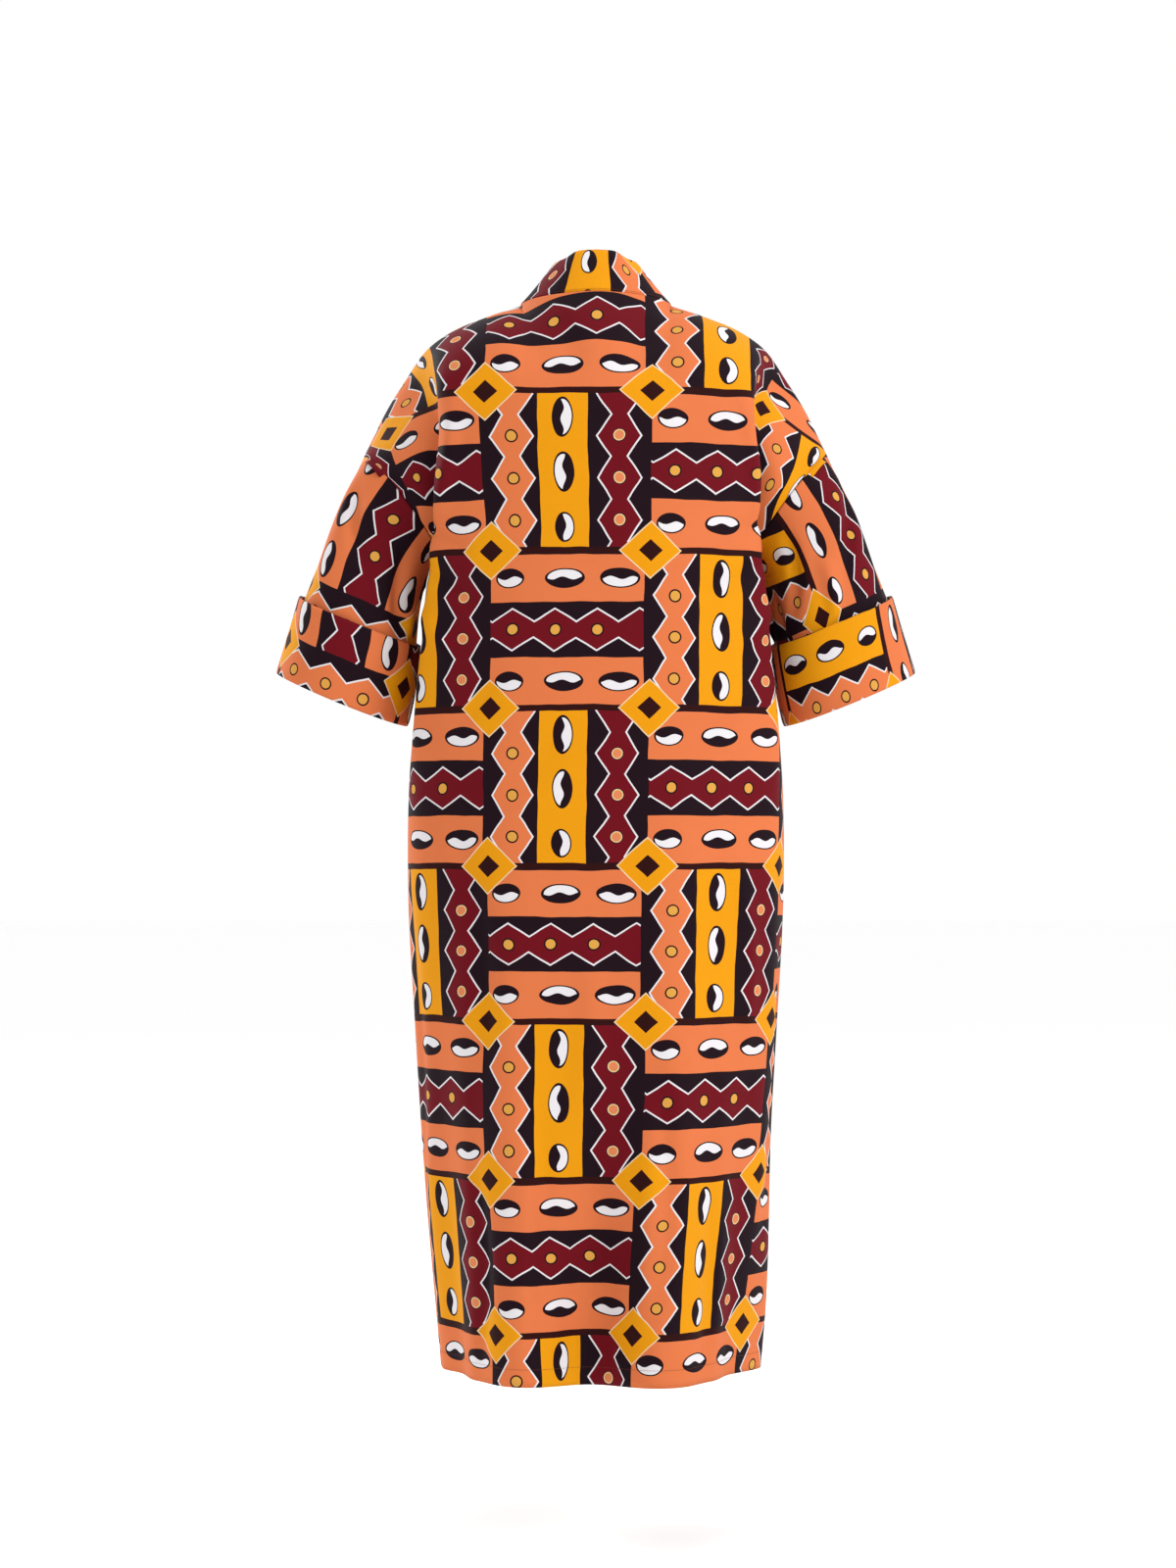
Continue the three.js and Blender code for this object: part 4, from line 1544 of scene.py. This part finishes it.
@dataclass(frozen=True)
class WaxPrint:
    """The repeat: blocks of bands, turned by a quarter from one block to the next.

    Sizes are shares of a block. An upright block has a zigzag band, a cowrie band and a zigzag band
    side by side. A lying one has a zigzag band between two cowrie bands.
    """

    block: Place = (0.194, 0.187)  # metres
    motifs: int = 3  # dots or cowries in a band
    zigzag_middles: tuple[float, float, float] = (0.156, 0.806, 0.504)  # upright's two, lying's one
    zigzag_parting: float = 0.45  # between an upright block's two
    zigzag_period: float = 0.264
    zigzag_starts: Place = (0.287, 0.145)  # first dot: upright, lying
    pinch: float = 0.050
    swing: float = 0.084
    line: float = 0.0060
    dot: float = 0.031
    dot_ring: float = 0.041
    pale_dot: float = 0.026
    pale_ring: float = 0.036
    cowrie_middles: tuple[float, float, float] = (0.468, 0.177, 0.830)  # upright's one, lying's two
    cowrie_parting: float = 0.5  # between a lying block's two
    cowrie_band: float = 0.150
    cowrie_starts: Place = (0.170, 0.125)
    cowrie_step: float = 0.343
    cowrie_half: Place = (0.125, 0.063)
    cowrie_shorter: float = 0.032  # the first of a lying block, the last of an upright one
    cowrie_white: float = 0.87  # how far the white goes out, as a share of the cowrie
    cowrie_split_wave: Place = (46.0, 0.010)
    cowrie_split_shift: float = 2.1  # what the wave moves on by from one cowrie to the next
    lying_end: float = 0.963  # a lying block's bands stop here
    row_line: float = 0.020
    lozenge_half: Place = (0.196, 0.186)
    lozenge_yellow: float = 0.945  # as a share of the lozenge
    lozenge_brown: float = 0.385
    wander: float = 0.016  # how far a hand-cut edge strays
    wander_scale: float = 24.0
    wander_detail: float = 1.0

    def motif(self, turn: Term) -> Term:
        """Which of a band's motifs is nearest, counted from 0."""
        return turn.round().at_least(0).at_most(self.motifs - 1)

    def zigzag_bands(self, chart: Chart, spot: Spot) -> None:
        """Paints bands with zigzag edges, and a ringed dot in each wide part.

        Args:
            chart: what they are painted on.
            spot: the place in the block.
        """
        upright, inside = spot.upright, spot.inside
        is_first = spot.over < self.zigzag_parting
        is_orange = upright * is_first
        left, right, lying = self.zigzag_middles
        off = spot.over - upright.pick(is_first.pick(left, right), lying)
        start = upright.pick(*self.zigzag_starts)
        turn = (spot.along - start) / self.zigzag_period
        half = abs(turn.fraction() * 2 - 1) * self.swing + self.pinch
        reach = abs(off)
        band = (reach < half) * inside
        chart.paint(band, Ink.BURGUNDY)
        chart.paint(band * is_orange, Ink.ORANGE)
        chart.paint((abs(reach - half) < self.line) * inside, Ink.WHITE)
        ring = (spot.along - start - self.motif(turn) * self.zigzag_period).hypotenuse(off)
        has_pale_ring = upright * is_first.without()
        chart.paint((ring < self.dot_ring) * inside, Ink.DARK)
        chart.paint((ring < self.pale_ring) * has_pale_ring, Ink.CREAM)
        chart.paint((ring < self.dot) * inside, Ink.GOLD)
        chart.paint((ring < self.pale_dot) * has_pale_ring, Ink.APRICOT)

    def cowrie_bands(self, chart: Chart, spot: Spot) -> None:
        """Paints plain bands with cowries: one yellow in an upright block, two orange in a lying one.

        Args:
            chart: what they are painted on.
            spot: the place in the block.
        """
        upright, inside = spot.upright, spot.inside
        single, upper, lower = self.cowrie_middles
        off = spot.over - upright.pick(single, (spot.over < self.cowrie_parting).pick(upper, lower))
        band = (abs(off) < self.cowrie_band) * inside
        chart.paint(band, Ink.ORANGE)
        chart.paint(band * upright, Ink.YELLOW)
        start = upright.pick(*self.cowrie_starts)
        step = self.motif((spot.along - start) / self.cowrie_step)
        run = spot.along - start - step * self.cowrie_step
        is_middle = abs(step - 1) < 0.5
        is_short = upright.pick(step > 1.5, step < 0.5)
        length, width = self.cowrie_half
        ring = (run / (is_short * -self.cowrie_shorter + length)).hypotenuse(off / width)
        chart.paint((ring < 1) * inside, Ink.DARK)
        turns, swing = self.cowrie_split_wave
        edge = (run * turns + step * self.cowrie_split_shift + upright).sine() * swing
        split = (off + edge) * is_middle.pick(-1, 1)
        chart.paint((ring < self.cowrie_white) * (split > 0) * inside, Ink.WHITE)

    def lozenges(self, chart: Chart, across: Term, down: Term) -> None:
        """Paints a lozenge with a small one inside it, on every corner where four blocks meet.

        Args:
            chart: what they are painted on.
            across: the place in the print, in blocks.
            down: the same, down it.
        """
        wide, tall = self.lozenge_half
        reach = abs(across - across.round()) / wide + abs(down - down.round()) / tall
        chart.paint(reach < 1.0, Ink.CREAM)
        chart.paint(reach < self.lozenge_yellow, Ink.YELLOW)
        chart.paint(reach < self.lozenge_brown, Ink.BROWN)

    def places(self, tree: bpy.types.NodeTree, cloth: bpy.types.NodeSocket) -> list[Term]:
        """The place in the print, in blocks, with the small strays of hand-cut edges.

        Args:
            tree: the material's nodes.
            cloth: the place on the flat cloth, in metres.

        Returns:
            Across and down.
        """
        wander = {"Scale": self.wander_scale, "Detail": self.wander_detail, "Vector": cloth}
        noise = add_node(tree, "ShaderNodeTexNoise", wander, noise_dimensions="2D")
        strays = add_node(tree, "ShaderNodeSeparateColor", {0: noise.outputs["Color"]}).outputs
        parts = add_node(tree, "ShaderNodeSeparateXYZ", {0: cloth}).outputs
        return [
            Term(tree, part) / size + (Term(tree, stray) - 0.5) * self.wander
            for part, size, stray in zip(parts, self.block, strays)
        ]

    def draw(self, tree: bpy.types.NodeTree, cloth: bpy.types.NodeSocket) -> bpy.types.NodeSocket:
        """Draws the whole repeat over the cloth.

        Args:
            tree: the material's nodes.
            cloth: the place on the flat cloth, in metres.

        Returns:
            The print's colour.
        """
        chart = Chart(tree, Ink.DARK)
        across, down = self.places(tree, cloth)
        column, row = across.floor(), down.floor()
        x, y = across - column, down - row
        upright = (column + row).remainder(2).without()
        along, over = upright.pick(y, x), upright.pick(x, y)
        spot = Spot(along, over, upright, (along < self.lying_end).at_least(upright))
        self.zigzag_bands(chart, spot)
        self.cowrie_bands(chart, spot)
        chart.paint(y.at_most(y.without()) < self.row_line, Ink.BROWN)
        self.lozenges(chart, across, down)
        return chart.colour


# Finishes

@dataclass(frozen=True)
class PrintedCotton:
    """Plain-weave cotton with the print on both sides."""

    design: WaxPrint = field(default_factory=WaxPrint)
    roughness: float = 0.66
    sheen: float = 0.02
    sheen_roughness: float = 0.5
    specular: float = 0.06
    thread: float = 0.0006
    thread_height: float = 0.10
    slub_height: float = 0.06
    bump_strength: float = 0.35
    bump_distance: float = 0.0004
    tone: float = 0.04  # how unevenly the dye took
    tone_scale: float = 9.0
    tone_detail: float = 6.0

    def material(self) -> bpy.types.Material:
        """Makes the finish.

        Returns:
            The cloth's material.
        """
        even = {
            "Roughness": self.roughness,
            "Sheen Weight": self.sheen,
            "Sheen Roughness": self.sheen_roughness,
            "Specular IOR Level": self.specular,
        }
        material, shader = new_finish("Printed cotton", even)
        tree = material.node_tree
        cloth = add_node(tree, "ShaderNodeUVMap", uv_map=CLOTH_MAP).outputs[0]
        dye = {"Scale": self.tone_scale, "Detail": self.tone_detail, "Vector": cloth}
        took = Term(tree, add_node(tree, "ShaderNodeTexNoise", dye).outputs["Fac"])
        shade = took * (2 * self.tone) + (1 - self.tone)
        inks = {0: self.design.draw(tree, cloth), "Scale": shade.socket}
        colour = add_node(tree, "ShaderNodeVectorMath", inks, operation="SCALE").outputs[0]
        parts = add_node(tree, "ShaderNodeSeparateXYZ", {0: cloth}).outputs
        warp, weft = ((Term(tree, part) * (2 * math.pi / self.thread)).sine() for part in parts[:2])
        height = warp * weft * self.thread_height + took * self.slub_height
        relief = {"Strength": self.bump_strength, "Distance": self.bump_distance, "Height": height.socket}
        bump = add_node(tree, "ShaderNodeBump", relief).outputs[0]
        tree.links.new(colour, shader.inputs["Base Color"])
        tree.links.new(bump, shader.inputs["Normal"])
        return material


@dataclass(frozen=True)
class SewingThread:
    """Twisted matt cotton thread, striped with painted shade: darker in the grooves between its plies,
    lighter on their ridges.
    """

    # The two colours are one thread colour, lit and shaded: painted light on the ply ridges, painted shade
    # in the grooves between the plies.
    light: Colour = (0.180, 0.042, 0.018, 1)
    dark: Colour = (0.070, 0.016, 0.009, 1)
    roughness: float = 0.7
    specular: float = 0.2
    twists: float = 900.0
    twist_distortion: float = 1.0

    def material(self) -> bpy.types.Material:
        """Makes the finish.

        Returns:
            The thread's material.
        """
        even = {"Roughness": self.roughness, "Specular IOR Level": self.specular}
        material, shader = new_finish("Sewing thread", even)
        tree = material.node_tree
        place = add_node(tree, "ShaderNodeTexCoord").outputs["Object"]
        wave = {"Scale": self.twists, "Distortion": self.twist_distortion, "Vector": place}
        # Painted shade of the twist: bands of the shaded and the lit thread colour.
        twist_shade = add_node(tree, "ShaderNodeTexWave", wave)
        ramp = add_node(tree, "ShaderNodeValToRGB", {0: twist_shade.outputs["Fac"]})
        for stop, colour in zip(ramp.color_ramp.elements, (self.dark, self.light)):
            stop.color = colour
        tree.links.new(ramp.outputs[0], shader.inputs["Base Color"])
        return material


# The studio

@dataclass(frozen=True)
class SoftLight:
    """One large square light, aimed at the robe's middle."""

    name: str
    place: tuple[float, float, float]
    size: float
    watts: float


@dataclass(frozen=True)
class Studio:
    """The photograph's view from behind, a pale floor and soft light."""

    photo_size: tuple[int, int] = (1200, 1600)
    focal_pixels: float = 3115
    horizon_pixel: float = 880
    axis_pixel: float = 608
    distance: float = 3.8
    height: float = -0.7015
    floor_height: float = -1.53
    floor_half: float = 40.0
    floor_corners: int = 96
    floor_colour: Colour = (0.985, 0.985, 0.985, 1)
    floor_roughness: float = 0.9
    sky: float = 1.0
    aim: tuple[float, float, float] = (0, 0, -0.65)
    lights: tuple[SoftLight, ...] = (
        SoftLight("Key", (-3.3, 2.3, 1.6), 1.3, 112),
        SoftLight("Fill", (3.2, 2.8, 0.0), 3.0, 4),
        SoftLight("Top", (0.0, 0.4, 2.4), 1.8, 20),
        SoftLight("Front key", (3.3, -2.3, 1.6), 1.3, 112),
        SoftLight("Front fill", (-3.2, -2.8, 0.0), 3.0, 6),
    )

    def camera(self) -> None:
        """Sets the camera behind the robe, at half its height, aimed slightly up."""
        data = bpy.data.cameras.new("Camera")
        data.lens = self.focal_pixels / self.photo_size[1] * data.sensor_width
        camera = new_object("Camera", data)
        aside = (self.axis_pixel - self.photo_size[0] / 2) * self.distance / self.focal_pixels
        camera.location = (aside, self.distance, self.height)
        pitch = math.atan((self.horizon_pixel - self.photo_size[1] / 2) / self.focal_pixels)
        camera.rotation_euler = (math.pi / 2 + pitch, 0, math.pi)
        bpy.context.scene.camera = camera

    def floor(self) -> None:
        """Lays a wide pale floor, as one disc."""
        angle = 2 * math.pi * np.arange(self.floor_corners) / self.floor_corners
        x, y = np.cos(angle) * self.floor_half, np.sin(angle) * self.floor_half
        rim = np.column_stack([x, y, np.full(self.floor_corners, self.floor_height)])
        mesh = bpy.data.meshes.new("Floor")
        mesh.from_pydata(rim.tolist(), [], [list(range(self.floor_corners))])
        even = {"Base Color": self.floor_colour, "Roughness": self.floor_roughness}
        mesh.materials.append(new_finish("Pale floor", even)[0])
        new_object("Floor", mesh)

    def light(self) -> None:
        """Sets up the lights and a bright sky, and keeps colours plain."""
        for light in self.lights:
            data = bpy.data.lights.new(light.name, "AREA")
            data.size = light.size
            data.energy = light.watts
            lamp = new_object(light.name, data)
            lamp.location = light.place
            towards = Vector(self.aim) - Vector(light.place)
            lamp.rotation_euler = towards.to_track_quat("-Z", "Y").to_euler()
        world = bpy.data.worlds.new("Studio")
        world.use_nodes = True
        background = world.node_tree.nodes["Background"]
        background.inputs[0].default_value = (1, 1, 1, 1)
        background.inputs[1].default_value = self.sky
        bpy.context.scene.world = world
        bpy.context.scene.view_settings.view_transform = "Standard"


# The robe

@dataclass
class Robe:
    """All the cloth and its sewing."""

    form: WornForm = field(default_factory=WornForm)
    stitching: Stitching = field(default_factory=Stitching)

    def build(self) -> None:
        """Makes the pieces, in an order in which each finds its neighbours without their creases."""
        cotton = PrintedCotton().material()
        tree = self.stitching.tree(SewingThread().material())
        back_panel = BackPanel(self.form)
        band = CollarBand(self.form)
        fronts = {side: FrontPanel(self.form, side, **FRONTS[side]) for side in Side}
        sleeves = {side: Sleeve(self.form, side, **SLEEVES[side]) for side in Side}
        cuffs = {side: Cuff(sleeves[side], CUFF_PRINTS[side]) for side in Side}
        back_cloth = back_panel.sheet()
        front_cloth = {side: fronts[side].sheet(back_panel) for side in Side}
        band_cloth = band.sheet(back_cloth, front_cloth)
        band.build(band_cloth, cotton)
        self.stitching.sew("collar_band_stitches", self.stitching.beside_seam(band_cloth), tree)
        for side in Side:
            sleeve_cloth = sleeves[side].sheet(back_cloth, front_cloth[side])
            cuffs[side].build(cuffs[side].sheet(sleeve_cloth), cotton)
            sleeve_cloth.crease(sleeves[side].creases, cuffs[side].depth)
            sleeves[side].build(sleeve_cloth, cotton)
            front_cloth[side].crease(fronts[side].creases)
            fronts[side].build(front_cloth[side], cotton)
            line = self.stitching.above_hem(front_cloth[side])
            self.stitching.sew(f"{fronts[side].node}_hem_stitches", line, tree)
        back_cloth.crease(back_panel.creases)
        back_panel.build(back_cloth, cotton)
        self.stitching.sew("back_panel_hem_stitches", self.stitching.above_hem(back_cloth), tree)


def main() -> None:
    """Builds the robe in the studio."""
    logging.basicConfig(level=logging.INFO)
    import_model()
    studio = Studio()
    studio.camera()
    Robe().build()
    studio.floor()
    studio.light()


if __name__ == "__main__":
    main()
